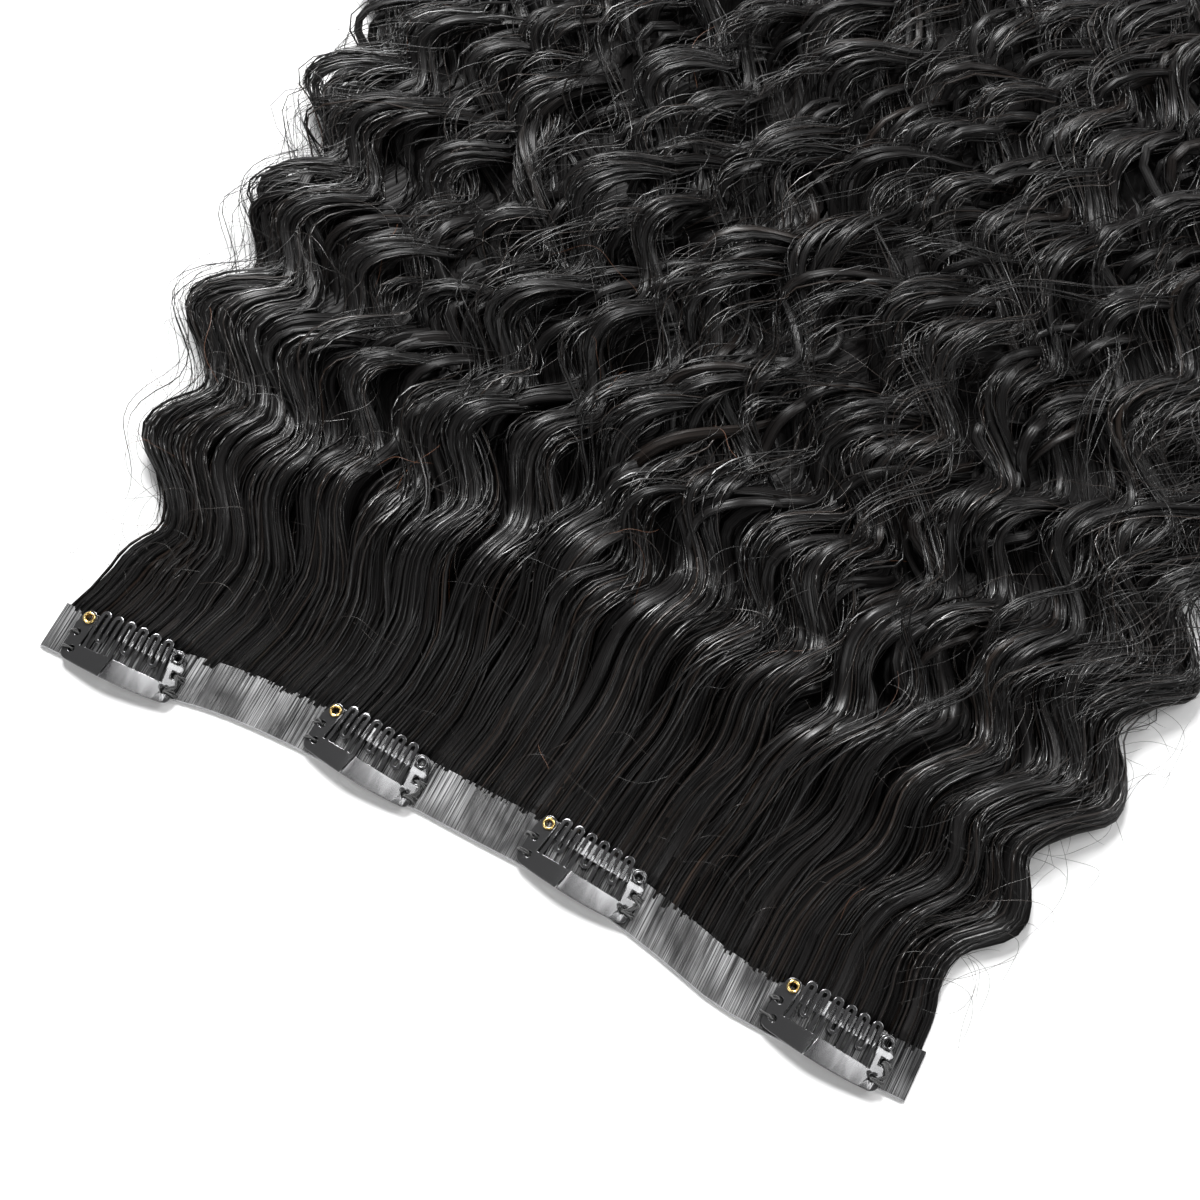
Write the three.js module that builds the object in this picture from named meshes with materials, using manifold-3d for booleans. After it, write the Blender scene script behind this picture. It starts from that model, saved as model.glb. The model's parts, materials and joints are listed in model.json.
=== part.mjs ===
// A clip-in hair extension: one wide weft of wavy black hair on a glossy band, with four snap comb clips.
// It lies on a table, clips up. Millimetres, +Z up, +X along the band, +Y from the band to the hair's ends.
// The origin is on the band's flat underside, at the middle of its length and width.
import * as THREE from "three";
import { mergeVertices } from "three/addons/utils/BufferGeometryUtils.js";
import Module from "manifold-3d";

const wasm = await Module();
wasm.setup();

// Clearance between pieces that lie on, or pass through, each other.
const CLEARANCE = 0.2;

// The band, a thin strip of clear skin with the hair's roots cast into it.
const BAND_LENGTH = 216;
const BAND_WIDTH = 11.5;
const BAND_THICKNESS = 1.0;
const BAND_BOW = 6.4; // how far the middle bows towards the hair
const BAND_STATIONS = 32;

// The band's bow as it lies: along is a share of half its length, bow a share of BAND_BOW.
const BAND_COURSE = [
  { along: -1.0, bow: 0.0 },
  { along: -0.79, bow: 0.17 },
  { along: -0.58, bow: 0.8 },
  { along: -0.36, bow: 1.0 },
  { along: 0.0, bow: 1.0 },
  { along: 0.25, bow: 0.95 },
  { along: 0.44, bow: 0.45 },
  { along: 0.6, bow: -0.1 },
  { along: 0.8, bow: -0.1 },
  { along: 1.0, bow: 0.0 },
];

// The four clips: along is the clip's middle as a share of half the band, turn its angle in degrees.
const CLIPS = [
  { name: "clip_1", along: -0.825, turn: 3 },
  { name: "clip_2", along: -0.264, turn: -3.5 },
  { name: "clip_3", along: 0.238, turn: -3.5 },
  { name: "clip_4", along: 0.818, turn: -3.5 },
];
const CLIP_OVERHANG = 1.0; // how far a clip's lower edge reaches past the band's

// The clip's toothed plate, stamped from one sheet of spring steel, and the tension bar behind it.
const STEEL_THICKNESS = 0.5;
const CLIP_LENGTH = 28;
const CLIP_ARCH = 0.9; // rise of the clip's middle over its ends
const RIVET_SPACING = 22.9;
const LOBE_RADIUS = 1.9; // round the rivets
const PLATE_DROP = 11.3; // from the rivet line to the lower edge, at the middle
const PLATE_EDGE_SAG = 0.9; // what the lower edge rises towards its ends
const PLATE_CORNER = 1.8;
const PLATE_SETTLE = 0.5; // how far the lower edge leans down towards the band
const BAR_WIDTH = 3.7;
const BAR_OFFSET = -0.35; // the bar's middle from the rivet line
const BAR_STATIONS = 4;

// The teeth: three M-shaped wires of four legs each, joined by two tips and one inner loop.
const TOOTH_COUNT = 3;
const TOOTH_PITCH = 6.5;
const LEG_WIDTH = 0.85;
const LEG_GAP = 0.78; // between the two legs of one tip
const TIP_REACH = 3.2; // from the rivet line to the tips
const LOOP_DROP = 4.6; // from the rivet line to the underside of the inner loop
const ROOT_DROP = 6.4; // from the rivet line to the legs' roots
const TOOTH_ARCH = 0.35; // rise of a leg between its root and its tip
const TOOTH_FAN = 0.009; // how much the legs spread for each millimetre down
const LEG_STATIONS = 1;
const NOTCH_WIDTH = 0.6; // between the outer legs and the lobes
const SLIT_WIDTH = 0.3;
const SLIT_LEAN = 1.0; // how far the slit leans over the lower band

// The holes that the sewing thread goes through: round on the left, open slots on the right.
const SEWING_HOLES = [
  { inset: 1.5, drop: 3.9 },
  { inset: 2.1, drop: 7.9 },
];
const SEWING_HOLE_RADIUS = 0.8;
const SLOT_MOUTH = 0.9;

// The hollow rivets, one brass and one black, that hold the plate and the bar together.
const RIVET_BORE = 0.8;
const RIVET_WALL = 0.25;
const RIVET_HEAD_RADIUS = 1.45;
const RIVET_HEAD_HEIGHT = 0.45;
const RIVET_SIDES = 8;

// The hair, as it lies: wavy locks fused side by side to a thin root sheet behind the band.
const HAIR_LENGTH = 296;
const HAIR_DEPTH = 15;
const ROOT_THICKNESS = 1.0; // of the root sheet
const ROOT_SHEET_LENGTH = 12;
const ROOT_LAP = 3; // from the sheet's edge to where the locks leave it
const WAVE_LENGTH = 34;
const WAVE_HEIGHT = 4.5;
const WAVE_NOD = 0.12; // how much the waves lift a lock, as a share of its height
const SWELL_END = 0.16; // the share of a lock's length by which it has its full depth
const SWAY_END = 0.16; // the share of a lock's length by which its waves are full
const ROOT_NARROWING = 0.8; // a lock's width where it starts, as a share of its full width
const END_START = 0.7; // the share of a lock's length where its end starts to taper
const END_TAPER = 0.6; // what a lock loses of its width and depth at its end
const STEPS_PER_WAVE = 4;

// The section of a flat strip, as shares of its width and its thickness.
const FLAT_SECTION = [
  { across: 0, up: 0 },
  { across: 1, up: 0 },
  { across: 1, up: 1 },
  { across: 0, up: 1 },
];

// A lock's section from its left foot to its right one, as shares of half its width and its depth.
const LOCK_SECTION = [
  { across: 1.0, up: 0.0 },
  { across: 0.76, up: 0.75 },
  { across: 0.0, up: 1.0 },
  { across: -0.76, up: 0.75 },
  { across: -1.0, up: 0.0 },
];

// The hair's outline: reach is a share of its length, left and right shares of half the band.
const HAIR_OUTLINE = [
  { reach: 0.0, left: -0.97, right: 0.98 },
  { reach: 0.05, left: -0.94, right: 0.99 },
  { reach: 0.12, left: -1.0, right: 1.06 },
  { reach: 0.18, left: -1.04, right: 1.12 },
  { reach: 0.25, left: -1.09, right: 1.14 },
  { reach: 0.35, left: -1.1, right: 1.17 },
  { reach: 0.5, left: -1.16, right: 1.22 },
  { reach: 1.0, left: -1.24, right: 1.3 },
];

// One row a lock, five low ones from left to right and then the four high ones between them: place is across
// the hair from -1 to 1, width a share of the band's length, depth a share of HAIR_DEPTH, wave a share of
// WAVE_HEIGHT, lag in degrees of one wave, length a share of HAIR_LENGTH.
const LOCKS = [
  { place: -1.0, width: 0.27, depth: 0.5, wave: 0.9, lag: 165, length: 0.93 },
  { place: -0.5, width: 0.36, depth: 0.58, wave: 1.0, lag: 190, length: 0.98 },
  { place: 0.0, width: 0.37, depth: 0.6, wave: 0.9, lag: 120, length: 0.95 },
  { place: 0.5, width: 0.36, depth: 0.58, wave: 1.0, lag: 150, length: 1.0 },
  { place: 1.0, width: 0.27, depth: 0.5, wave: 0.8, lag: 110, length: 0.92 },
  { place: -0.8, width: 0.14, depth: 0.8, wave: 1.2, lag: 130, length: 0.9 },
  { place: -0.28, width: 0.15, depth: 1.0, wave: 1.4, lag: 200, length: 0.94 },
  { place: 0.26, width: 0.15, depth: 0.95, wave: 1.3, lag: 120, length: 0.92 },
  { place: 0.8, width: 0.14, depth: 0.85, wave: 1.2, lag: 60, length: 0.9 },
];

const COLOURS = {
  skin: { color: 0x1b1b1c, roughness: 0.28, metalness: 0.0 },
  hair: { color: 0x0b0a0a, roughness: 0.42, metalness: 0.0 },
  steel: { color: 0x2b2b2d, roughness: 0.3, metalness: 0.6 },
  brass: { color: 0xd8b25a, roughness: 0.25, metalness: 1.0 },
};

const halfBand = BAND_LENGTH / 2;
const halfRivets = RIVET_SPACING / 2;
const halfClip = CLIP_LENGTH / 2;

// The value of a table's column at a place between its rows, on a smooth curve through the rows.
function between(table, at, value, place) {
  const last = table.length - 1;
  const here = THREE.MathUtils.clamp(place, table[0][at], table[last][at]);
  const high = Math.max(1, table.findIndex((row) => row[at] >= here));
  const low = high - 1;
  const slope = (row) => {
    const [before, after] = [table[Math.max(row - 1, 0)], table[Math.min(row + 1, last)]];
    return (after[value] - before[value]) / (after[at] - before[at]);
  };
  const gap = table[high][at] - table[low][at];
  const share = (here - table[low][at]) / gap;
  const ease = share * share * (3 - 2 * share);
  const leave = slope(low) * share * (1 - share) ** 2;
  const arrive = slope(high) * share * share * (share - 1);
  return THREE.MathUtils.lerp(table[low][value], table[high][value], ease) + gap * (leave + arrive);
}

// The band's middle line: how far it lies from the X axis at x, zero at the middle of its length.
function bandLine(x) {
  const bow = (along) => between(BAND_COURSE, "along", "bow", along);
  return BAND_BOW * (bow(x / halfBand) - bow(0));
}

function stations(count, low, high) {
  return Array.from({ length: count + 1 }, (_, i) => low + ((high - low) * i) / count);
}

// Moves each vertex of a geometry by a function of its place.
function reshape(geometry, place) {
  const position = geometry.attributes.position;
  const vertex = new THREE.Vector3();
  for (let i = 0; i < position.count; i += 1) {
    vertex.fromBufferAttribute(position, i);
    place(vertex);
    position.setXYZ(i, vertex.x, vertex.y, vertex.z);
  }
  return geometry;
}

// A closed geometry as a solid that can be joined and cut.
function solidOf(geometry) {
  const bare = geometry.index ? geometry.toNonIndexed() : geometry.clone();
  bare.deleteAttribute("normal");
  bare.deleteAttribute("uv");
  const merged = mergeVertices(bare, 1e-4);
  const mesh = new wasm.Mesh({
    numProp: 3,
    vertProperties: merged.attributes.position.array,
    triVerts: new Uint32Array(merged.index.array),
  });
  return new wasm.Manifold(mesh);
}

function geometryOf(solid) {
  const mesh = solid.getMesh();
  const geometry = new THREE.BufferGeometry();
  geometry.setAttribute("position", new THREE.BufferAttribute(mesh.vertProperties, 3));
  geometry.setIndex(new THREE.BufferAttribute(mesh.triVerts, 1));
  geometry.computeVertexNormals();
  return geometry;
}

function meshOf(name, geometry, finish) {
  const mesh = new THREE.Mesh(geometry, new THREE.MeshStandardMaterial(COLOURS[finish]));
  mesh.name = name;
  return mesh;
}

// A closed strip of one section, each of whose points place() sets down from across, up and along.
function strip(section, steps, place) {
  const shape = new THREE.Shape(section.map(({ across, up }) => new THREE.Vector2(across, up)));
  const straight = new THREE.ExtrudeGeometry(shape, { depth: 1, steps, bevelEnabled: false });
  return reshape(straight, (v) => v.set(...place(v.x, v.y, 1 - v.z)));
}

// A flat strip as long as the band and along its course, near and far measured from the band's line.
function courseStrip({ near, far, thickness }) {
  return strip(FLAT_SECTION, BAND_STATIONS, (across, up, along) => {
    const x = THREE.MathUtils.lerp(-halfBand, halfBand, along);
    return [x, bandLine(x) + THREE.MathUtils.lerp(far, near, across), up * thickness];
  });
}

// The band along its course, flat underside down.
function makeBand() {
  const [near, far] = [-BAND_WIDTH / 2, BAND_WIDTH / 2];
  return meshOf("band", courseStrip({ near, far, thickness: BAND_THICKNESS }), "skin");
}

// How high the clip's arch stands at x, from its rivets' line of rest.
function archAt(x) {
  return CLIP_ARCH * (1 - (x / halfClip) ** 2);
}

function arched(geometry, rise = () => 0) {
  return reshape(geometry, (v) => {
    v.z += archAt(v.x) + rise(v.x, v.y);
  });
}

// The plan place of a point of a tooth: the legs fan out towards their roots.
function fanned(x, y) {
  return [x * (1 - TOOTH_FAN * y), y];
}

const legOffset = (LEG_GAP + LEG_WIDTH) / 2;
const outerLegOffset = 3 * legOffset;
const tipRadius = LEG_GAP / 2 + LEG_WIDTH;
const tipCentre = TIP_REACH - tipRadius;
const loopCentre = -LOOP_DROP + tipRadius;
const halfTeeth = (TOOTH_PITCH * (TOOTH_COUNT - 1)) / 2;
const toothMiddles = stations(TOOTH_COUNT - 1, -halfTeeth, halfTeeth);

// Draws one straight side of a leg, with stations on it so that it can be arched.
function legSide(path, x, from, to) {
  for (const y of stations(LEG_STATIONS, from, to)) path.lineTo(...fanned(x, y));
}

// Draws a half turn round a tip or loop, from x on one side to x on the other.
function halfTurn(path, middle, y, radius, fromRight, over) {
  const [x] = fanned(middle, y);
  const start = fromRight ? 0 : Math.PI;
  path.absarc(x, y, radius, start, Math.PI - start, over ? !fromRight : fromRight);
}

// The outside of one tooth, from the root of its right outer leg to the root of its left one.
function toothOutside(path, middle) {
  const right = middle + outerLegOffset + LEG_WIDTH / 2;
  const left = middle - outerLegOffset - LEG_WIDTH / 2;
  legSide(path, right, -ROOT_DROP, tipCentre);
  halfTurn(path, middle + 2 * legOffset, tipCentre, tipRadius, true, true);
  legSide(path, middle + legOffset - LEG_WIDTH / 2, tipCentre, loopCentre);
  halfTurn(path, middle, loopCentre, LEG_GAP / 2, true, false);
  legSide(path, middle - legOffset + LEG_WIDTH / 2, loopCentre, tipCentre);
  halfTurn(path, middle - 2 * legOffset, tipCentre, tipRadius, true, true);
  legSide(path, left, tipCentre, -ROOT_DROP);
}

// The window inside one tooth, clockwise from the root of its left outer leg.
function toothInside(path, middle) {
  const left = middle - outerLegOffset + LEG_WIDTH / 2;
  const right = middle + outerLegOffset - LEG_WIDTH / 2;
  legSide(path, left, -ROOT_DROP, tipCentre);
  halfTurn(path, middle - 2 * legOffset, tipCentre, LEG_GAP / 2, false, true);
  legSide(path, middle - legOffset - LEG_WIDTH / 2, tipCentre, loopCentre);
  halfTurn(path, middle, loopCentre, tipRadius, false, false);
  legSide(path, middle + legOffset + LEG_WIDTH / 2, loopCentre, tipCentre);
  halfTurn(path, middle + 2 * legOffset, tipCentre, LEG_GAP / 2, false, true);
  legSide(path, right, tipCentre, -ROOT_DROP);
}

function circle(x, y, radius) {
  const path = new THREE.Path();
  path.absarc(x, y, radius, 0, 2 * Math.PI, false);
  return path;
}

// The lower edge of the plate at x.
function plateEdge(x) {
  return -PLATE_DROP + PLATE_EDGE_SAG * (x / halfClip) ** 2;
}

// The plate's outline, anticlockwise from its lower left corner, the slit and the middle window included.
function plateOutline() {
  const shape = new THREE.Shape();
  const side = halfClip;
  const cornerX = side - PLATE_CORNER;
  const middle = toothMiddles[Math.floor(TOOTH_COUNT / 2)];
  const slitTop = fanned(middle - outerLegOffset + LEG_WIDTH / 2, -ROOT_DROP)[0];
  const slitFoot = slitTop - SLIT_LEAN;

  shape.moveTo(-cornerX, plateEdge(-cornerX));
  shape.lineTo((slitFoot - cornerX) / 2, plateEdge((slitFoot - cornerX) / 2));
  shape.lineTo(slitFoot, plateEdge(slitFoot));
  toothInside(shape, middle);
  shape.lineTo(slitTop + SLIT_WIDTH, -ROOT_DROP);
  shape.lineTo(slitFoot + SLIT_WIDTH, plateEdge(slitFoot + SLIT_WIDTH));
  for (const x of stations(2, slitFoot + SLIT_WIDTH, cornerX).slice(1)) shape.lineTo(x, plateEdge(x));
  shape.quadraticCurveTo(side, plateEdge(side), side, plateEdge(side) + PLATE_CORNER);
  for (const hole of [...SEWING_HOLES].reverse()) {
    const x = side - hole.inset;
    const reach = Math.sqrt(SEWING_HOLE_RADIUS ** 2 - (SLOT_MOUTH / 2) ** 2);
    const turn = Math.asin(SLOT_MOUTH / 2 / SEWING_HOLE_RADIUS);
    shape.lineTo(side, -hole.drop - SLOT_MOUTH / 2);
    shape.lineTo(x + reach, -hole.drop - SLOT_MOUTH / 2);
    shape.absarc(x, -hole.drop, SEWING_HOLE_RADIUS, -turn, turn, true);
    shape.lineTo(side, -hole.drop + SLOT_MOUTH / 2);
  }
  lobe(shape, 1);
  const outerRoot = toothMiddles[TOOTH_COUNT - 1] + outerLegOffset + LEG_WIDTH / 2;
  const lobeSide = fanned(outerRoot, -ROOT_DROP)[0] + NOTCH_WIDTH;
  shape.lineTo(lobeSide, -ROOT_DROP);
  for (const tooth of [...toothMiddles].reverse()) toothOutside(shape, tooth);
  shape.lineTo(-lobeSide, -ROOT_DROP);
  lobe(shape, -1);
  shape.lineTo(-side, plateEdge(side) + PLATE_CORNER);
  shape.quadraticCurveTo(-side, plateEdge(side), -cornerX, plateEdge(cornerX));

  for (const tooth of toothMiddles.filter((x) => x !== middle)) {
    const window = new THREE.Path();
    window.moveTo(...fanned(tooth - outerLegOffset + LEG_WIDTH / 2, -ROOT_DROP));
    toothInside(window, tooth);
    shape.holes.push(window);
  }
  for (const end of [-1, 1]) shape.holes.push(circle(end * halfRivets, 0, rivetHole()));
  for (const { inset, drop } of SEWING_HOLES) shape.holes.push(circle(inset - side, -drop, SEWING_HOLE_RADIUS));
  return shape;
}

// The round top of the lobe that a rivet goes through, drawn on the way round the outline.
function lobe(shape, end) {
  const shoulder = new THREE.Vector2(end * halfClip, -LOBE_RADIUS);
  const neck = end * (halfRivets - LOBE_RADIUS);
  if (end > 0) {
    shape.lineTo(shoulder.x, shoulder.y);
    shape.absarc(halfRivets, 0, LOBE_RADIUS, 0, Math.PI, false);
  } else {
    shape.lineTo(neck, 0);
    shape.absarc(-halfRivets, 0, LOBE_RADIUS, 0, Math.PI, false);
    shape.lineTo(shoulder.x, shoulder.y);
  }
}

function rivetHole() {
  return RIVET_BORE + RIVET_WALL + CLEARANCE;
}

const barLevel = CLEARANCE;
const plateLevel = barLevel + STEEL_THICKNESS + CLEARANCE;
const headLevel = plateLevel + STEEL_THICKNESS + CLEARANCE;

// How far the plate stands over its level sheet: its legs bow up and its lower edge leans down.
function plateRise(x, y) {
  const share = THREE.MathUtils.clamp((y + ROOT_DROP) / (TIP_REACH + ROOT_DROP), 0, 1);
  const onTooth = Math.abs(x) < halfRivets - LOBE_RADIUS;
  const bow = onTooth ? TOOTH_ARCH * Math.sin(Math.PI * share) : 0;
  const lean = THREE.MathUtils.clamp((-y - LOBE_RADIUS) / (PLATE_DROP - LOBE_RADIUS), 0, 1);
  return bow - PLATE_SETTLE * lean;
}

function makePlate(name) {
  const options = { depth: STEEL_THICKNESS, bevelEnabled: false, curveSegments: 3 };
  const sheet = new THREE.ExtrudeGeometry(plateOutline(), options);
  return meshOf(`${name}_toothed_plate`, arched(sheet.translate(0, 0, plateLevel), plateRise), "steel");
}

function makeBar(name) {
  const shape = new THREE.Shape();
  const [low, high] = [BAR_OFFSET - BAR_WIDTH / 2, BAR_OFFSET + BAR_WIDTH / 2];
  const turn = BAR_WIDTH / 2;
  shape.absarc(-halfRivets, BAR_OFFSET, turn, Math.PI / 2, -Math.PI / 2, false);
  for (const x of stations(BAR_STATIONS, -halfRivets, halfRivets).slice(1, -1)) shape.lineTo(x, low);
  shape.absarc(halfRivets, BAR_OFFSET, turn, -Math.PI / 2, Math.PI / 2, false);
  for (const x of stations(BAR_STATIONS, halfRivets, -halfRivets).slice(1, -1)) shape.lineTo(x, high);
  for (const end of [-1, 1]) shape.holes.push(circle(end * halfRivets, 0, rivetHole()));
  const options = { depth: STEEL_THICKNESS, bevelEnabled: false, curveSegments: 3 };
  const sheet = new THREE.ExtrudeGeometry(shape, options);
  return meshOf(`${name}_tension_bar`, arched(sheet.translate(0, 0, barLevel)), "steel");
}

function makeRivet(name, end, finish) {
  const shank = RIVET_BORE + RIVET_WALL;
  const top = headLevel + RIVET_HEAD_HEIGHT;
  const roll = RIVET_HEAD_HEIGHT / 2;
  const profile = [
    [RIVET_BORE, barLevel],
    [shank, barLevel],
    [shank, headLevel],
    [RIVET_HEAD_RADIUS, headLevel],
    [RIVET_HEAD_RADIUS, top - roll],
    [RIVET_HEAD_RADIUS - roll, top],
    [shank, top],
    [RIVET_BORE, top - roll],
    [RIVET_BORE, barLevel],
  ].map(([r, z]) => new THREE.Vector2(r, z));
  const ring = new THREE.LatheGeometry(profile, RIVET_SIDES);
  ring.rotateX(Math.PI / 2).translate(end * halfRivets, 0, 0);
  return meshOf(`${name}_${finish}_rivet`, arched(ring), finish === "brass" ? "brass" : "steel");
}

// One clip in a group of its own, turned and set down on the band's top face.
function makeClip({ name, along, turn }) {
  const clip = new THREE.Group();
  clip.name = name;
  clip.add(makeBar(name), makePlate(name));
  clip.add(makeRivet(name, -1, "brass"), makeRivet(name, 1, "black"));
  const x = along * halfBand;
  const lowerEdge = bandLine(x) - BAND_WIDTH / 2 - CLIP_OVERHANG;
  clip.position.set(x, lowerEdge + PLATE_DROP, BAND_THICKNESS);
  clip.rotation.z = THREE.MathUtils.degToRad(turn);
  return clip;
}

// The thin sheet of hair that leaves the band and that every lock is fused to.
function rootSheet() {
  const near = BAND_WIDTH / 2 + CLEARANCE;
  return courseStrip({ near, far: near + ROOT_SHEET_LENGTH, thickness: ROOT_THICKNESS });
}

// One lock: a low dome along the table, each section square to Y, that sways from side to side.
function lockGeometry(lock) {
  const length = HAIR_LENGTH * lock.length - ROOT_LAP;
  const steps = Math.round((STEPS_PER_WAVE * length) / WAVE_LENGTH);
  const halfWidth = (lock.width * BAND_LENGTH) / 2;
  const lag = THREE.MathUtils.degToRad(lock.lag);
  return strip(LOCK_SECTION, steps, (across, up, along) => {
    const reach = along * lock.length;
    const left = halfBand * between(HAIR_OUTLINE, "reach", "left", reach);
    const right = halfBand * between(HAIR_OUTLINE, "reach", "right", reach);
    const taper = 1 - END_TAPER * THREE.MathUtils.smoothstep(along, END_START, 1);
    const swell = THREE.MathUtils.smoothstep(along, 0, SWELL_END);
    const wide = halfWidth * THREE.MathUtils.lerp(ROOT_NARROWING, 1, swell) * taper;
    const middle = (left + right) / 2 + lock.place * ((right - left) / 2 - wide);
    const rest = middle + across * wide;
    const y = bandLine(rest) + BAND_WIDTH / 2 + CLEARANCE + ROOT_LAP + along * length;
    const wave = (2 * Math.PI * y) / WAVE_LENGTH + lag;
    const sway = WAVE_HEIGHT * lock.wave * THREE.MathUtils.smoothstep(along, 0, SWAY_END);
    const deep = THREE.MathUtils.lerp(ROOT_THICKNESS, HAIR_DEPTH * lock.depth, swell) * taper;
    const nod = 1 + WAVE_NOD * Math.cos(wave) * swell;
    return [rest + sway * Math.sin(wave), y, up * deep * nod];
  });
}

function makeHair() {
  const locks = LOCKS.map((lock) => solidOf(lockGeometry(lock)));
  const fused = locks.reduce((whole, lock) => whole.add(lock), solidOf(rootSheet()));
  return meshOf("hair", geometryOf(fused), "hair");
}

const extension = new THREE.Group();
extension.name = "clip_in_hair_extension";
extension.add(makeBand(), makeHair(), ...CLIPS.map(makeClip));

export default extension;
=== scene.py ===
"""The looks of a clip-in hair extension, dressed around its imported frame.

The frame holds the real sizes, the joints and the bodies. This script stands a glossy skin band,
four lacquered snap combs, their sewing thread and the waved hair in the place of the frame's plain
solids, and adds a floor, soft light and a camera. Sizes are millimetres until a mesh is finished, and
metres after that.
"""

import json
import logging
import math
from dataclasses import dataclass, field
from enum import Enum

import bmesh
import bpy
import numpy as np
from mathutils import Matrix, Vector


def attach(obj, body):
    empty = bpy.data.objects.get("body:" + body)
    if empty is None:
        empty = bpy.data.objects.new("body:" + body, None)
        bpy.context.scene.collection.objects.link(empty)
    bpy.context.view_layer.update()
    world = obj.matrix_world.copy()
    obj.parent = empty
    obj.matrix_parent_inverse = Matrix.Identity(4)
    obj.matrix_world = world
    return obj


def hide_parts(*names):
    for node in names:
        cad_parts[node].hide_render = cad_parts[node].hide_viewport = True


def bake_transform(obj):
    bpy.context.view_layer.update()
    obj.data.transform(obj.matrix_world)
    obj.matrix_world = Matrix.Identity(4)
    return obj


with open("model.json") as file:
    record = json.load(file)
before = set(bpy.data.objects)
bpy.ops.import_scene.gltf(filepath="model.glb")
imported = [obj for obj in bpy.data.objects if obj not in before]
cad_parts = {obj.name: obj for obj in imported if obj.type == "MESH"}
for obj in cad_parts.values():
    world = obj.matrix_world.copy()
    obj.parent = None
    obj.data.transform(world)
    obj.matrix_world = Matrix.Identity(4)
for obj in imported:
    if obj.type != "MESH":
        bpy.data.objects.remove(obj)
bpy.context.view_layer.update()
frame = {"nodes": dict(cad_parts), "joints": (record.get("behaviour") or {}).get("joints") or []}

MM = 0.001
LAY_MAP = "lay"
TONE = "tone"
LOG = logging.getLogger("extension")

Array = np.ndarray
BMVert = bmesh.types.BMVert
BMesh = bmesh.types.BMesh
Generator = np.random.Generator
Material = bpy.types.Material
Mesh = bpy.types.Mesh
Piece = bpy.types.Object
Socket = bpy.types.NodeSocket
Point2 = tuple[float, float]
Point3 = tuple[float, float, float]
Colour = tuple[float, float, float]
Loop = list[Point2]


def ramp(value: Array, low: float, high: float) -> Array:
    """Eases from 0 at low to 1 at high.

    Args:
        value: The places to ease at.
        low: Where the ease starts.
        high: Where it ends.

    Returns:
        The eased shares, as many as the places.
    """
    share = np.clip((value - low) / (high - low), 0.0, 1.0)
    return share * share * (3.0 - 2.0 * share)


class Body(Enum):
    """The frame's bodies that a piece can ride on."""

    WEFT = "weft"
    CLIP_1 = "clip_1"
    CLIP_2 = "clip_2"
    CLIP_3 = "clip_3"
    CLIP_4 = "clip_4"


class Slot(Enum):
    """The record's material slots."""

    SKIN = "skin"
    HAIR = "hair"
    STEEL = "steel"
    BRASS = "brass"
    BLACK_RIVET = "black_rivet"
    THREAD = "thread"


class Shine(Enum):
    """How much gloss a piece of hair has, by the name of its material; two of the finishes are painted
    shade.
    """

    FULL = "hair"
    LOCK = "hair_lock"
    # Painted shade: gloss turned down for the low tier, standing in for the shade inside the pile.
    PAINTED_SHADE = "hair_painted_shade"
    # Painted shade: the least gloss, for the mat under all the hair.
    UNDER_PAINTED_SHADE = "hair_under_painted_shade"


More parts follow.
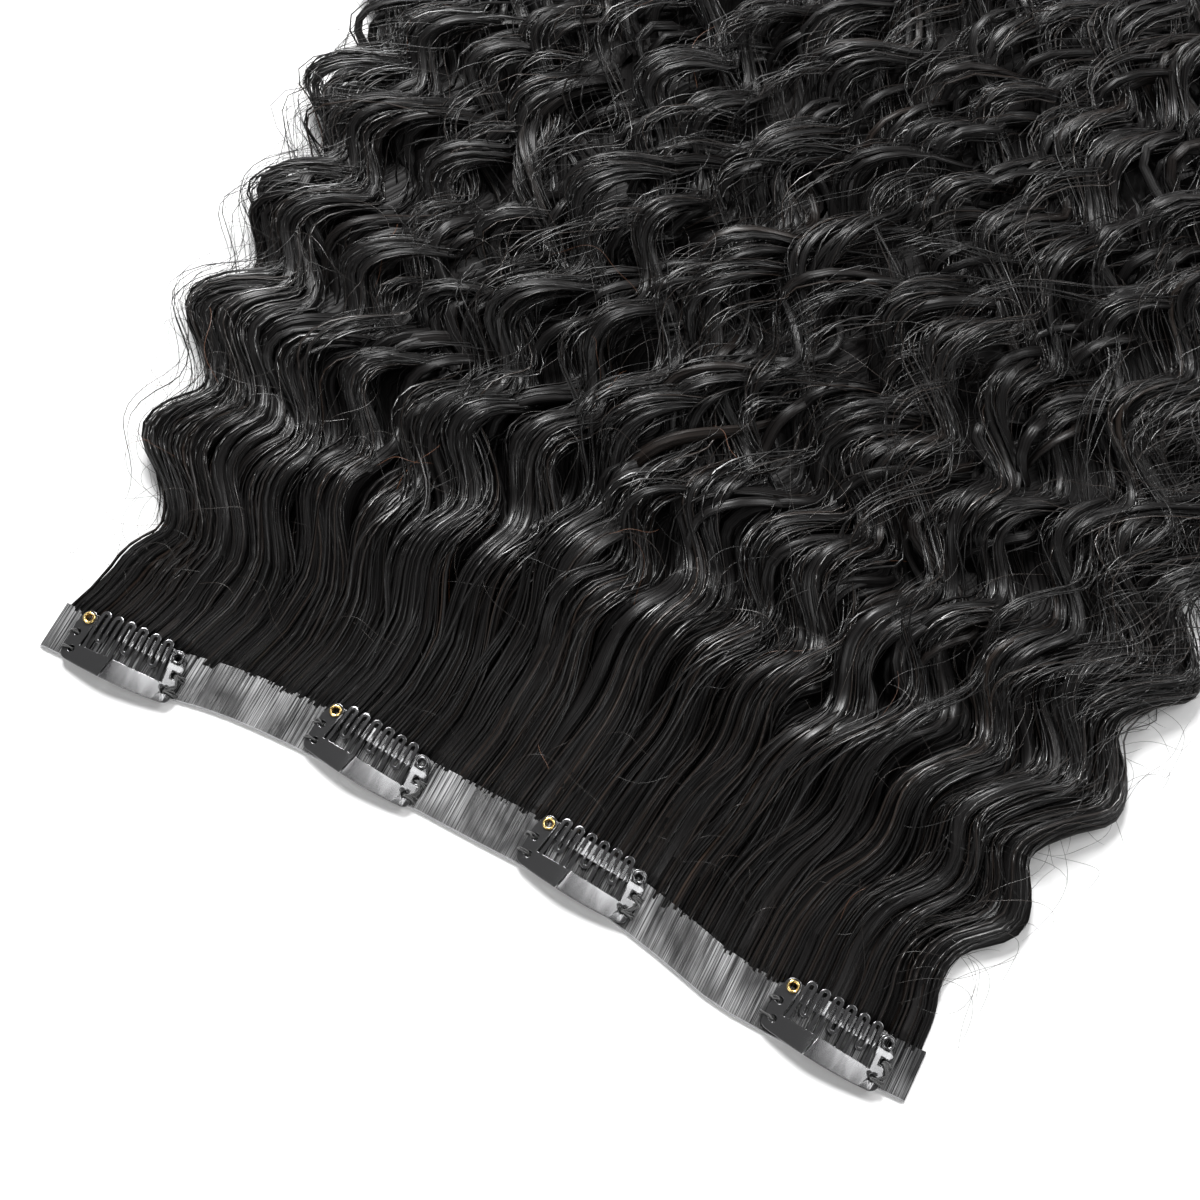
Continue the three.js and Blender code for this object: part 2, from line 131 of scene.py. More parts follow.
class Tree:
    """A material whose nodes are added and wired by short calls."""

    def __init__(self, name: str) -> None:
        """Starts a material with its one surface shader.

        Args:
            name: The material's name.
        """
        self.material = bpy.data.materials.new(name)
        self.material.use_nodes = True
        self.nodes = self.material.node_tree.nodes
        self.links = self.material.node_tree.links
        self.surface = self.nodes["Principled BSDF"]

    def wire(self, value: object, socket: Socket) -> None:
        """Links a socket to another, or sets its value.

        Args:
            value: A node socket, or the value itself.
            socket: The input that takes it.
        """
        if isinstance(value, Socket):
            self.links.new(value, socket)
        else:
            socket.default_value = value

    def add(self, kind: str, inputs: dict | None = None, **settings: object) -> bpy.types.Node:
        """Adds a shader node.

        Args:
            kind: The node's type without its ShaderNode prefix.
            inputs: Values or sockets for its inputs, by name or number.
            **settings: The node's own properties.

        Returns:
            The new node.
        """
        node = self.nodes.new(f"ShaderNode{kind}")
        for key, value in settings.items():
            setattr(node, key, value)
        for key, value in (inputs or {}).items():
            self.wire(value, node.inputs[key])
        return node

    def lay(self, scale: Point3) -> Socket:
        """The piece's own UV map, in millimetres, scaled.

        Args:
            scale: How many pattern units a millimetre holds, across, along and up.

        Returns:
            The scaled vector.
        """
        uv = self.add("UVMap", uv_map=LAY_MAP)
        return self.add("Mapping", {"Vector": uv.outputs[0], "Scale": scale}).outputs[0]

    def place(self, scale: float) -> Socket:
        """The object's own coordinates, in metres, scaled alike along all three axes."""
        place = self.add("TexCoord").outputs["Object"]
        return self.add("Mapping", {"Vector": place, "Scale": (scale,) * 3}).outputs[0]

    def noise(self, vector: Socket, detail: float = 3.0, rough: float = 0.6) -> Socket:
        """A grey noise over a vector.

        Args:
            vector: The scaled coordinates.
            detail: How many finer layers it has.
            rough: How strong they are.

        Returns:
            The noise, from 0 to 1.
        """
        inputs = {"Vector": vector, "Scale": 1.0, "Detail": detail, "Roughness": rough}
        return self.add("TexNoise", inputs).outputs[0]

    def spread(self, value: Socket, old: Point2, new: Point2) -> Socket:
        """Maps one range of a value to another, clamped.

        Args:
            value: The value.
            old: Its low and high.
            new: What they become.

        Returns:
            The mapped value.
        """
        inputs = {0: value, 1: old[0], 2: old[1], 3: new[0], 4: new[1]}
        return self.add("MapRange", inputs).outputs[0]

    def mix(self, share: object, first: object, second: object) -> Socket:
        """Mixes two colours.

        Args:
            share: How much of the second.
            first: A colour or socket.
            second: A colour or socket.

        Returns:
            The mixed colour.
        """
        node = self.add("Mix", data_type="RGBA")
        self.wire(share, node.inputs[0])
        self.wire(opaque(first), node.inputs[6])
        self.wire(opaque(second), node.inputs[7])
        return node.outputs[2]

    def bump(self, height: Socket, depth: float, under: object = None) -> Socket:
        """A bump of a depth, over another one where that is given.

        Args:
            height: The height, from 0 to 1.
            depth: What one unit of it stands for, in millimetres.
            under: The normal that it lies on.

        Returns:
            The bumped normal.
        """
        inputs = {"Height": height, "Distance": depth * MM, "Strength": 1.0}
        if under is not None:
            inputs["Normal"] = under
        return self.add("Bump", inputs).outputs[0]

    def finish(self, **inputs: object) -> Material:
        """Sets the surface shader's inputs.

        Args:
            **inputs: Values or sockets by input name, with underscores for spaces.

        Returns:
            The finished material.
        """
        for key, value in inputs.items():
            self.wire(opaque(value), self.surface.inputs[key.replace("_", " ")])
        return self.material


def opaque(value: object) -> object:
    """Gives a three-part colour its alpha.

    Args:
        value: A colour, a socket or a number.

    Returns:
        The colour with its alpha, or anything else as it is.
    """
    if isinstance(value, tuple) and len(value) == 3:
        return (*value, 1.0)
    return value


@dataclass(frozen=True)
class HairFinish:
    """Near-black hair: strands along the lay, grey gloss on the crests and a little auburn."""

    dark: Colour = (0.0085, 0.0077, 0.0077)
    brown: Colour = (0.034, 0.022, 0.016)
    auburn: Colour = (0.30, 0.11, 0.045)
    strand: float = 0.42
    run: float = 80.0
    depth: float = 0.17
    rough: Point2 = (0.26, 0.46)
    gloss: float = 0.95
    stretch: float = 0.55

    def material(self, name: str) -> Material:
        """The finish as a material.

        Args:
            name: The material's name.

        Returns:
            The material.
        """
        tree = Tree(name)
        strands = tree.noise(tree.lay((1.0 / self.strand, 1.0 / self.run, 1.0)), 2.0)
        wisps = tree.noise(tree.lay((0.3 / self.strand, 0.9 / self.run, 1.0)), 1.0)
        tone = tree.add("Attribute", attribute_name=TONE).outputs["Fac"]
        body = tree.mix(tree.spread(tone, (0.25, 0.75), (0.0, 1.0)), self.dark, self.brown)
        body = tree.mix(tree.spread(tone, (0.8, 1.0), (0.0, 1.0)), body, self.auburn)
        body = tree.mix(tree.spread(strands, (0.35, 0.6), (0.85, 0.0)), body, (0.001, 0.001, 0.001))
        under = tree.bump(wisps, 2.5 * self.depth)
        return tree.finish(
            Base_Color=body,
            Roughness=tree.spread(strands, (0.3, 0.7), (self.rough[1], self.rough[0])),
            Normal=tree.bump(strands, self.depth, under),
            Specular_IOR_Level=tree.spread(strands, (0.35, 0.6), (0.15 * self.gloss, self.gloss)),
            Anisotropic=self.stretch,
            Tangent=tree.add("Tangent", direction_type="UV_MAP", uv_map=LAY_MAP).outputs[0],
        )


@dataclass(frozen=True)
class SkinFinish:
    """Clear glossy skin over fine black roots that run across the band, with pale patches that are partly
    painted sheen.
    """

    root: Colour = (0.006, 0.006, 0.0065)
    clear: Colour = (0.045, 0.045, 0.046)
    # Partly the skin's own cloudy film and partly painted sheen: a pale colour that stands in for light the
    # glossy skin reflects.
    milky_and_painted_sheen: Colour = (0.36, 0.36, 0.365)
    edge: Colour = (0.5, 0.5, 0.51)
    strand: float = 0.3
    run: float = 30.0

    def material(self, name: str) -> Material:
        """The finish as a material.

        Args:
            name: The material's name.

        Returns:
            The material.
        """
        tree = Tree(name)
        strands = tree.noise(tree.lay((1.0 / self.strand, 1.0 / self.run, 1.0)), 2.5, 0.65)
        clumps = tree.noise(tree.lay((0.9, 0.04, 1.0)), 2.0)
        patches = tree.noise(tree.lay((0.085, 0.05, 1.0)), 1.5)
        # Painted sheen in part: the pale patches lighten the skin's colour where it would mirror the lights.
        skin = tree.mix(tree.spread(patches, (0.44, 0.62), (0.0, 1.0)), self.clear, self.milky_and_painted_sheen)
        body = tree.mix(tree.spread(strands, (0.42, 0.62), (0.0, 1.0)), self.root, skin)
        across = tree.add("SeparateXYZ", {0: tree.lay((1.0, 1.0, 1.0))}).outputs[1]
        lip = tree.spread(across, (0.0, 0.35), (1.0, 0.0))
        body = tree.mix(lip, body, self.edge)
        under = tree.bump(patches, 3.2)
        under = tree.bump(clumps, 0.16, under)
        return tree.finish(
            Base_Color=body,
            Roughness=tree.spread(clumps, (0.3, 0.7), (0.16, 0.3)),
            Normal=tree.bump(strands, 0.035, under),
            Specular_IOR_Level=tree.spread(strands, (0.4, 0.6), (0.12, 1.0)),
            Coat_Weight=0.2,
            Coat_Roughness=0.12,
        )


@dataclass(frozen=True)
class LacquerFinish:
    """Satin black lacquer on spring steel, with a fine orange peel."""

    base: Colour = (0.12, 0.12, 0.123)
    metallic: float = 0.85
    rough: Point2 = (0.14, 0.155)
    gloss: float = 0.9
    peel: float = 2600.0
    patch: float = 160.0

    def material(self, name: str) -> Material:
        """The finish as a material.

        Args:
            name: The material's name.

        Returns:
            The material.
        """
        tree = Tree(name)
        fine = tree.noise(tree.place(self.peel), 2.0)
        broad = tree.noise(tree.place(self.patch), 2.0)
        return tree.finish(
            Base_Color=self.base,
            Metallic=self.metallic,
            Roughness=tree.spread(broad, (0.3, 0.7), self.rough),
            Normal=tree.bump(fine, 0.0002),
            Specular_IOR_Level=self.gloss,
            Coat_Weight=0.3,
            Coat_Roughness=0.1,
        )


@dataclass(frozen=True)
class MetalFinish:
    """A bright plated metal with a slight tarnish."""

    bright: Colour = (0.93, 0.70, 0.30)
    tarnish: Colour = (0.52, 0.33, 0.10)
    rough: Point2 = (0.14, 0.3)
    stain: float = 700.0

    def material(self, name: str) -> Material:
        """The finish as a material.

        Args:
            name: The material's name.

        Returns:
            The material.
        """
        tree = Tree(name)
        stain = tree.noise(tree.place(self.stain), 3.0)
        return tree.finish(
            Base_Color=tree.mix(tree.spread(stain, (0.45, 0.75), (0.0, 1.0)), self.bright, self.tarnish),
            Metallic=1.0,
            Roughness=tree.spread(stain, (0.3, 0.7), self.rough),
        )


@dataclass(frozen=True)
class ThreadFinish:
    """Twisted black thread."""

    dark: Colour = (0.012, 0.012, 0.012)
    light: Colour = (0.07, 0.07, 0.07)
    twist: float = 0.5

    def material(self, name: str) -> Material:
        """The finish as a material.

        Args:
            name: The material's name.

        Returns:
            The material.
        """
        tree = Tree(name)
        turns = tree.lay((0.7 / self.twist, 1.0 / self.twist, 1.0))
        inputs = {"Vector": turns, "Scale": 1.0, "Distortion": 1.0}
        ply = tree.add("TexWave", inputs, bands_direction="DIAGONAL").outputs[1]
        return tree.finish(
            Base_Color=tree.mix(ply, self.dark, self.light),
            Roughness=0.55,
            Normal=tree.bump(ply, 0.08),
            Sheen_Weight=0.3,
        )


@dataclass(frozen=True)
class FloorFinish:
    """A plain pale floor."""

    pale: Colour = (0.86, 0.86, 0.86)

    def material(self, name: str) -> Material:
        """The finish as a material.

        Args:
            name: The material's name.

        Returns:
            The material.
        """
        return Tree(name).finish(Base_Color=self.pale, Roughness=0.9, Specular_IOR_Level=0.1)


def link(name: str, data: bpy.types.ID) -> Piece:
    """Puts a mesh, lamp or camera into the scene.

    Args:
        name: The object's name.
        data: What it holds. A mesh is already in place and in metres.

    Returns:
        The new object, at the origin.
    """
    piece = bpy.data.objects.new(name, data)
    bpy.context.scene.collection.objects.link(piece)
    return piece


def smooth(mesh: Mesh, sharp: float = math.radians(180)) -> None:
    """Shades a mesh smooth, apart from edges sharper than an angle."""
    mesh.polygons.foreach_set("use_smooth", [True] * len(mesh.polygons))
    mesh.set_sharp_from_angle(angle=sharp)


def from_bmesh(name: str, bm: BMesh, place: Matrix, sharp: float = math.radians(180)) -> Piece:
    """Turns a bmesh in millimetres into a piece in metres.

    Args:
        name: The piece's name.
        bm: The bmesh, which is freed.
        place: Where its own frame lies, in millimetres.
        sharp: The angle over which edges stay sharp.

    Returns:
        The new object.
    """
    bmesh.ops.recalc_face_normals(bm, faces=bm.faces[:])
    bmesh.ops.transform(bm, matrix=Matrix.Scale(MM, 4) @ place, verts=bm.verts[:])
    mesh = bpy.data.meshes.new(name)
    bm.to_mesh(mesh)
    bm.free()
    smooth(mesh, sharp)
    return link(name, mesh)


def dress(piece: Piece, material: Material, body: str, node: str) -> Piece:
    """Gives a piece its material, and says what it rides on and stands for.

    Args:
        piece: The piece.
        material: Its material.
        body: The body that it rides on.
        node: The node that it replaces.

    Returns:
        The piece.
    """
    piece.data.materials.append(material)
    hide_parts(node)
    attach(piece, body)
    return piece


def weighted(piece: Piece) -> Piece:
    """Lets a piece's broad faces set the shading at its rounded edges, so that they stay flat.

    Args:
        piece: The piece.

    Returns:
        The same piece.
    """
    modifier = piece.modifiers.new("weighted", "WEIGHTED_NORMAL")
    modifier.mode = "FACE_AREA"
    modifier.weight = 90
    return piece


def report(piece: Piece) -> None:
    """Logs a piece and its count of triangles."""
    triangles = sum(len(face.vertices) - 2 for face in piece.data.polygons)
    LOG.info("%s: %d triangles", piece.name, triangles)


@dataclass
class Tubes:
    """Many tubes of one section, in millimetres, as arrays: one row a tube, one column a station."""

    paths: Array
    half_widths: Array
    half_depths: Array
    rolls: Array
    tones: Array
    offsets: Array
    sides: int = 6
    floor: float = 0.03

    def frames(self) -> tuple[Array, Array]:
        """The side and up directions of each station, square to the path.

        Returns:
            The sides and the ups.
        """
        along = np.gradient(self.paths, axis=1)
        along /= np.linalg.norm(along, axis=2, keepdims=True) + 1e-9
        side = np.cross(along, np.array([0.0, 0.0, 1.0]))
        side /= np.linalg.norm(side, axis=2, keepdims=True) + 1e-9
        up = np.cross(side, along)
        turn, lean = np.cos(self.rolls)[..., None], np.sin(self.rolls)[..., None]
        return side * turn + up * lean, up * turn - side * lean

    def vertices(self) -> Array:
        """The vertices, ring after ring and tube after tube.

        Returns:
            One row a vertex.
        """
        side, up = self.frames()
        angles = 2.0 * np.pi * np.arange(self.sides) / self.sides - np.pi / 2.0
        wide = (self.half_widths[..., None] * np.cos(angles))[..., None] * side[:, :, None, :]
        deep = (self.half_depths[..., None] * np.sin(angles))[..., None] * up[:, :, None, :]
        vertices = (self.paths[:, :, None, :] + wide + deep).reshape(-1, 3)
        vertices[:, 2] = np.maximum(vertices[:, 2], self.floor)
        return vertices

    def mesh(self, name: str) -> Mesh:
        """Builds the closed tubes as one mesh in metres, with its lay map and its tones.

        Args:
            name: The mesh's name.

        Returns:
            The mesh.
        """
        count, steps = self.paths.shape[:2]
        sides = self.sides
        first = (np.arange(count) * steps * sides)[:, None, None]
        ring = (np.arange(steps - 1) * sides)[None, :, None]
        here = np.arange(sides)[None, None, :]
        near = (here + 1) % sides
        low, high = first + ring, first + ring + sides
        corners = [low + here, high + here, high + near, low + near]
        quads = np.stack(np.broadcast_arrays(*corners), axis=-1).reshape(-1, 4)
        starts = (first[:, 0] + np.arange(sides)[None, :]).reshape(-1, sides)
        ends = starts[:, ::-1] + (steps - 1) * sides
        caps = np.concatenate([starts, ends])

        mesh = bpy.data.meshes.new(name)
        vertices = self.vertices() * MM
        mesh.vertices.add(len(vertices))
        mesh.vertices.foreach_set("co", vertices.astype(np.float32).ravel())
        loops = np.concatenate([quads.ravel(), caps.ravel()])
        mesh.loops.add(len(loops))
        mesh.loops.foreach_set("vertex_index", loops.astype(np.int32))
        mesh.polygons.add(len(quads) + len(caps))
        totals = np.concatenate([np.full(len(quads), 4), np.full(len(caps), sides)])
        loop_starts = np.concatenate([[0], np.cumsum(totals)[:-1]])
        mesh.polygons.foreach_set("loop_start", loop_starts.astype(np.int32))
        mesh.polygons.foreach_set("loop_total", totals.astype(np.int32))
        mesh.update(calc_edges=True)
        mesh.polygons.foreach_set("use_smooth", np.ones(len(totals), dtype=bool))

        layer = mesh.uv_layers.new(name=LAY_MAP)
        layer.data.foreach_set("uv", self.lay(len(caps) * sides).astype(np.float32).ravel())
        tone = mesh.attributes.new(TONE, "FLOAT", "POINT")
        tone.data.foreach_set("value", np.repeat(self.tones, steps * sides).astype(np.float32))
        mesh.validate()
        return mesh

    def lay(self, cap_loops: int) -> Array:
        """The lay map: how far round and how far along each corner lies, in millimetres.

        Args:
            cap_loops: How many corners the caps have.

        Returns:
            One row a corner.
        """
        steps = np.linalg.norm(np.diff(self.paths, axis=1), axis=2)
        run = np.concatenate([np.zeros((len(steps), 1)), np.cumsum(steps, axis=1)], axis=1)
        run += self.offsets[:, None]
        girth = (self.half_widths + self.half_depths).max(axis=1)[:, None, None] * np.pi
        here = girth * np.arange(self.sides)[None, None, :] / self.sides + self.offsets[:, None, None]
        near = here + girth / self.sides
        start, end = run[:, :-1, None], run[:, 1:, None]
        corners = [(here, start), (here, end), (near, end), (near, start)]
        rows = [np.stack(np.broadcast_arrays(*corner), axis=-1) for corner in corners]
        quads = np.stack(rows, axis=-2).reshape(-1, 2)
        return np.concatenate([quads, np.zeros((cap_loops, 2))])


@dataclass
class Band:
    """The skin band: a thin waved strip with a clear lower lip and the roots cast into it."""

    length: float = 216.0
    width: float = 11.5
    thickness: float = 0.95
    edge: float = 0.15
    along_cells: int = 230
    across_cells: int = 14
    sway: float = 0.13
    finish: SkinFinish = field(default_factory=SkinFinish)
    course: Array = field(init=False)

    def __post_init__(self) -> None:
        """Reads the band's course from its solid in the frame."""
        points = np.array([v.co[:2] for v in frame["nodes"]["band"].data.vertices]) / MM
        places = np.unique(np.round(points[:, 0], 2))
        middles = [points[np.abs(points[:, 0] - x) < 0.02, 1] for x in places]
        self.course = np.array([[x, (y.min() + y.max()) / 2.0] for x, y in zip(places, middles)])

    def line(self, x: Array) -> Array:
        """The band's middle line at x."""
        return np.interp(x, self.course[:, 0], self.course[:, 1])

    def upper_edge(self, x: Array) -> Array:
        """The band's upper edge at x, and level past its ends."""
        half = self.length / 2.0
        return self.line(np.clip(x, -half, half)) + self.width / 2.0

    def top(self, x: float, across: float) -> float:
        """The height of the top face: rounded at its edges and a little waved.

        Args:
            x: The place along the band.
            across: The place across it, from 0 at the lower edge.

        Returns:
            The height.
        """
        inner = min(across, self.width - across, self.length / 2.0 - abs(x))
        share = min(max(inner / self.edge, 0.0), 1.0)
        waves = math.sin(x / 4.7 + 0.25 * across) * 0.45 + math.sin(x / 9.1 + 1.7) * 0.55
        rounded = 0.45 + 0.55 * math.sqrt(share * (2.0 - share))
        return self.thickness * rounded + self.sway * (waves - 1.0) * share / 2.0

    def build(self) -> Piece:
        """Builds the band and dresses it.

        Returns:
            The band's piece.
        """
        bm = bmesh.new()
        bmesh.ops.create_grid(bm, x_segments=self.along_cells, y_segments=self.across_cells, size=0.5)
        underside = bmesh.ops.extrude_face_region(bm, geom=bm.faces[:], use_keep_orig=True)["geom"]
        low = {item for item in underside if isinstance(item, BMVert)}
        layer = bm.loops.layers.uv.new(LAY_MAP)
        lays = {}
        for vert in bm.verts:
            x = vert.co.x * self.length
            across = (0.5 + 0.5 * math.sin(math.pi * vert.co.y)) * self.width
            lays[vert] = (x, across)
            height = 0.0 if vert in low else self.top(x, across)
            vert.co = (x, float(self.line(x)) + across - self.width / 2.0, height)
        for face in bm.faces:
            for loop in face.loops:
                loop[layer].uv = lays[loop.vert]
        piece = from_bmesh("band_skin", bm, Matrix.Identity(4), math.radians(50))
        return dress(piece, self.finish.material("skin"), Body.WEFT.value, "band")


def fill(loops: list[Loop]) -> BMesh:
    """Fills an outline and its holes with one flat face.

    Args:
        loops: The outline, and then the holes, each as points in order.

    Returns:
        The flat sheet.
    """
    bm = bmesh.new()
    for loop in loops:
        verts = [bm.verts.new((x, y, 0.0)) for x, y in loop]
        for here, there in zip(verts, verts[1:] + verts[:1]):
            bm.edges.new((here, there))
    bmesh.ops.triangle_fill(
        bm, use_beauty=True, use_dissolve=False, edges=bm.edges[:], normal=(0.0, 0.0, 1.0),
    )
    return bm


def stamp(loops: list[Loop], thickness: float, edge: float, segments: int) -> BMesh:
    """Stamps a sheet of metal: its outline raised to its thickness, with the top edge rounded.

    Args:
        loops: The outline and the holes.
        thickness: The sheet's thickness.
        edge: The radius of its top edge.
        segments: How many steps round the edge.

    Returns:
        The stamped sheet.
    """
    bm = fill(loops)
    raised = bmesh.ops.extrude_face_region(bm, geom=bm.faces[:], use_keep_orig=True)["geom"]
    tops = [item for item in raised if isinstance(item, BMVert)]
    bmesh.ops.translate(bm, vec=(0.0, 0.0, thickness), verts=tops)
    bmesh.ops.recalc_face_normals(bm, faces=bm.faces[:])
    upper = [e for e in bm.edges if min(v.co.z for v in e.verts) > thickness / 2]
    rim = [e for e in upper if e.calc_face_angle(0.0) > 1.0]
    bmesh.ops.bevel(
        bm, geom=rim, offset=edge, offset_type="OFFSET", affect="EDGES", segments=segments, profile=0.5,
        material=-1, clamp_overlap=True,
    )
    return bm


def slice_across(bm: BMesh, places: Array, normal: Point3) -> None:
    """Cuts a bmesh's faces along planes, so that it can be bent.

    Args:
        bm: The bmesh.
        places: How far each plane lies along the normal.
        normal: The planes' normal.
    """
    for place in places:
        geometry = bm.verts[:] + bm.edges[:] + bm.faces[:]
        middle = Vector(normal) * place
        bmesh.ops.bisect_plane(bm, geom=geometry, plane_co=middle, plane_no=normal, dist=0.005)


def turn_points(x: float, y: float, radius: float, start: float, sweep: float, steps: int) -> Loop:
    """Points round an arc.

    Args:
        x: The centre's x.
        y: The centre's y.
        radius: The arc's radius.
        start: Its first angle.
        sweep: How far it turns, anticlockwise.
        steps: How many steps it has.

    Returns:
        The points, both ends included.
    """
    angles = [start + sweep * i / steps for i in range(steps + 1)]
    return [(x + radius * math.cos(a), y + radius * math.sin(a)) for a in angles]


def circle(x: float, y: float, radius: float, steps: int) -> Loop:
    """Points round a whole circle, anticlockwise from its right."""
    return turn_points(x, y, radius, 0.0, 2.0 * math.pi, steps)[:-1]


def corner_points(start: Point2, bend: Point2, end: Point2, steps: int = 5) -> Loop:
    """Points round a soft corner.

    Args:
        start: Where it starts.
        bend: The sharp corner that it cuts.
        end: Where it ends.
        steps: How many steps it has.

    Returns:
        The points, both ends included.
    """
    shares = [i / steps for i in range(steps + 1)]
    weigh = [((1 - t) ** 2, 2 * t * (1 - t), t * t) for t in shares]
    return [tuple(a * start[k] + b * bend[k] + c * end[k] for k in (0, 1)) for a, b, c in weigh]


@dataclass
class Comb:
    """One snap comb: toothed plate, tension bar, two hollow rivets and the thread that holds it."""

    name: str
    joint: dict
    length: float = 28.0
    arch: float = 1.3
    arch_power: float = 1.2
    crest: float = -2.545
    steel: float = 0.5
    rivet_spacing: float = 22.9
    lobe: float = 1.9
    drop: float = 11.3
    edge_sag: float = 0.9
    corner: float = 1.8
    settle: float = 0.5
    edge_height: float = 0.4
    bar_width: float = 3.7
    bar_offset: float = -0.35
    bar_level: float = 0.2
    plate_level: float = 0.9
    head_level: float = 1.6
    teeth: tuple[float, ...] = (-6.5, 0.0, 6.5)
    leg: float = 0.85
    gap: float = 0.78
    tip: float = 3.2
    loop: float = 4.6
    root: float = 6.4
    bow: float = 0.4
    fan: float = 0.009
    notch: float = 0.6
    slit: float = 0.3
    slit_lean: float = 1.0
    holes: tuple[Point2, ...] = ((1.5, 3.9), (2.1, 7.9))
    hole_radius: float = 0.8
    slot_mouth: float = 0.9
    bore: float = 0.8
    rivet_hole: float = 1.25
    head: float = 1.45
    roll: float = 0.33
    rivet_sides: int = 40
    thread: float = 0.19

    @property
    def place(self) -> Matrix:
        """Where the comb's own frame lies: X along the rivets, Y from its hinge line to them.

        Returns:
            The frame's place, in millimetres.
        """
        x_axis = Vector(self.joint["axis"]).normalized()
        z_axis = Vector((0.0, 0.0, 1.0))
        y_axis = z_axis.cross(x_axis)
        origin = Vector(self.joint["pos_m"]) / MM + self.drop * y_axis - self.edge_height * z_axis
        turn = Matrix((x_axis, y_axis, z_axis)).transposed().to_4x4()
        return Matrix.Translation(origin) @ turn

    @property
    def half(self) -> float:
        """Half the comb's length."""
        return self.length / 2.0

    @property
    def glint(self) -> tuple[Vector, Vector]:
        """The plate's half beside the black rivet, which a spot is mirrored in.

        Returns:
            Its middle, in millimetres, and the way that it faces.
        """
        middle = self.place @ Vector((self.half * 0.55, -self.drop * 0.8, self.plate_level))
        slope = 1.1 * self.arch / (self.half - self.crest)
        lean = 0.5 * self.settle / (self.drop - self.lobe)
        return middle, (self.place.to_3x3() @ Vector((slope, -lean, 1.0))).normalized()

    def arch_at(self, x: float) -> float:
        """How high the comb's arch stands at x, with its crest at the slit."""
        reach = self.half + (self.crest if x < self.crest else -self.crest)
        return self.arch * (1.0 - min(abs(x - self.crest) / reach, 1.0) ** self.arch_power)

    def bare_to(self, other: "Comb") -> tuple[Vector, Vector]:
        """The middle of the bare band between this comb and another, and the way that it faces."""
        middle = (self.place.translation + other.place.translation) / 2.0
        return middle - Vector((0.0, self.drop / 2.0, 0.0)), Vector((0.0, 0.0, 1.0))

    def fanned(self, x: float, y: float) -> Point2:
        """A tooth's point, spread out towards the roots."""
        return (x * (1.0 - self.fan * y), y)

    def half_turn(self, middle: float, y: float, radius: float, from_right: bool, over: bool) -> Loop:
        """A half turn round a tip or loop.

        Args:
            middle: The turn's middle, before the fan.
            y: The height of its centre.
            radius: Its radius.
            from_right: Whether it starts at its right side.
            over: Whether it passes over its centre.

        Returns:
            The points.
        """
        start = 0.0 if from_right else math.pi
        sweep = math.pi if from_right == over else -math.pi
        steps = 12 if radius > self.leg else 7
        return turn_points(self.fanned(middle, y)[0], y, radius, start, sweep, steps)

    @property
    def leg_offset(self) -> float:
        """How far a tooth's inner legs lie from its middle."""
        return (self.gap + self.leg) / 2.0

    @property
    def wide_turn(self) -> float:
        """The outer radius of a tip."""
        return self.gap / 2.0 + self.leg

    def tooth(self, middle: float, inside: bool) -> Loop:
        """One side of a tooth's wire, from root to root.

        Args:
            middle: The tooth's middle, before the fan.
            inside: Whether it is the window inside the tooth, run from the left, or else the tooth's
                outside, run from the right.

        Returns:
            The points.
        """
        way = -1.0 if inside else 1.0
        inner, outer = way * 2.0 * self.leg_offset, way * (3.0 * self.leg_offset + way * self.leg / 2.0)
        narrow, wide = self.gap / 2.0, self.wide_turn
        tip_radius, loop_radius = (narrow, wide) if inside else (wide, narrow)
        tip = (self.tip - wide, tip_radius, not inside, True)
        loop = (wide - self.loop, loop_radius, not inside, False)
        points = [self.fanned(middle + outer, -self.root)]
        points += self.half_turn(middle + inner, *tip)
        points += self.half_turn(middle, *loop)
        points += self.half_turn(middle - inner, *tip)
        return points + [self.fanned(middle - outer, -self.root)]

    def edge_at(self, x: float) -> float:
        """The plate's lower edge at x."""
        return -self.drop + self.edge_sag * (x / self.half) ** 2

    def plate_outline(self) -> Loop:
        """The plate's outline, with its slit and middle window.

        Returns:
            The points, anticlockwise from the lower left.
        """
        side, corner_x = self.half, self.half - self.corner
        bend = (side, self.edge_at(side))
        corner = [(corner_x, self.edge_at(corner_x)), bend, (side, bend[1] + self.corner)]
        half_leg = self.leg / 2.0
        slit_top = self.fanned(-3.0 * self.leg_offset + half_leg, -self.root)[0]
        slit_foot = slit_top - self.slit_lean
        points = [(x, self.edge_at(x)) for x in np.linspace(-corner_x, slit_foot, 8)]
        points += self.tooth(0.0, True)
        points += [(slit_top + self.slit, -self.root)]
        points += [(x, self.edge_at(x)) for x in np.linspace(slit_foot + self.slit, corner_x, 8)[:-1]]
        points += corner_points(*corner)
        for inset, drop in reversed(self.holes):
            turn = math.asin(self.slot_mouth / 2.0 / self.hole_radius)
            points += [(side, -drop - self.slot_mouth / 2.0)]
            sweep = 2.0 * (turn - math.pi)
            points += turn_points(side - inset, -drop, self.hole_radius, -turn, sweep, 14)
            points += [(side, -drop + self.slot_mouth / 2.0)]
        points += [(side, -self.lobe)]
        points += turn_points(self.rivet_spacing / 2.0, 0.0, self.lobe, 0.0, math.pi, 14)
        outer_root = self.teeth[-1] + 3.0 * self.leg_offset + half_leg
        lobe_side = self.fanned(outer_root, -self.root)[0] + self.notch
        points += [(lobe_side, -self.root)]
        for tooth in reversed(self.teeth):
            points += self.tooth(tooth, False)
        points += [(-lobe_side, -self.root)]
        points += turn_points(-self.rivet_spacing / 2.0, 0.0, self.lobe, 0.0, math.pi, 14)
        points += [(-side, -self.lobe)]
        points += corner_points(*[(-x, y) for x, y in reversed(corner)])
        return points[:-1]

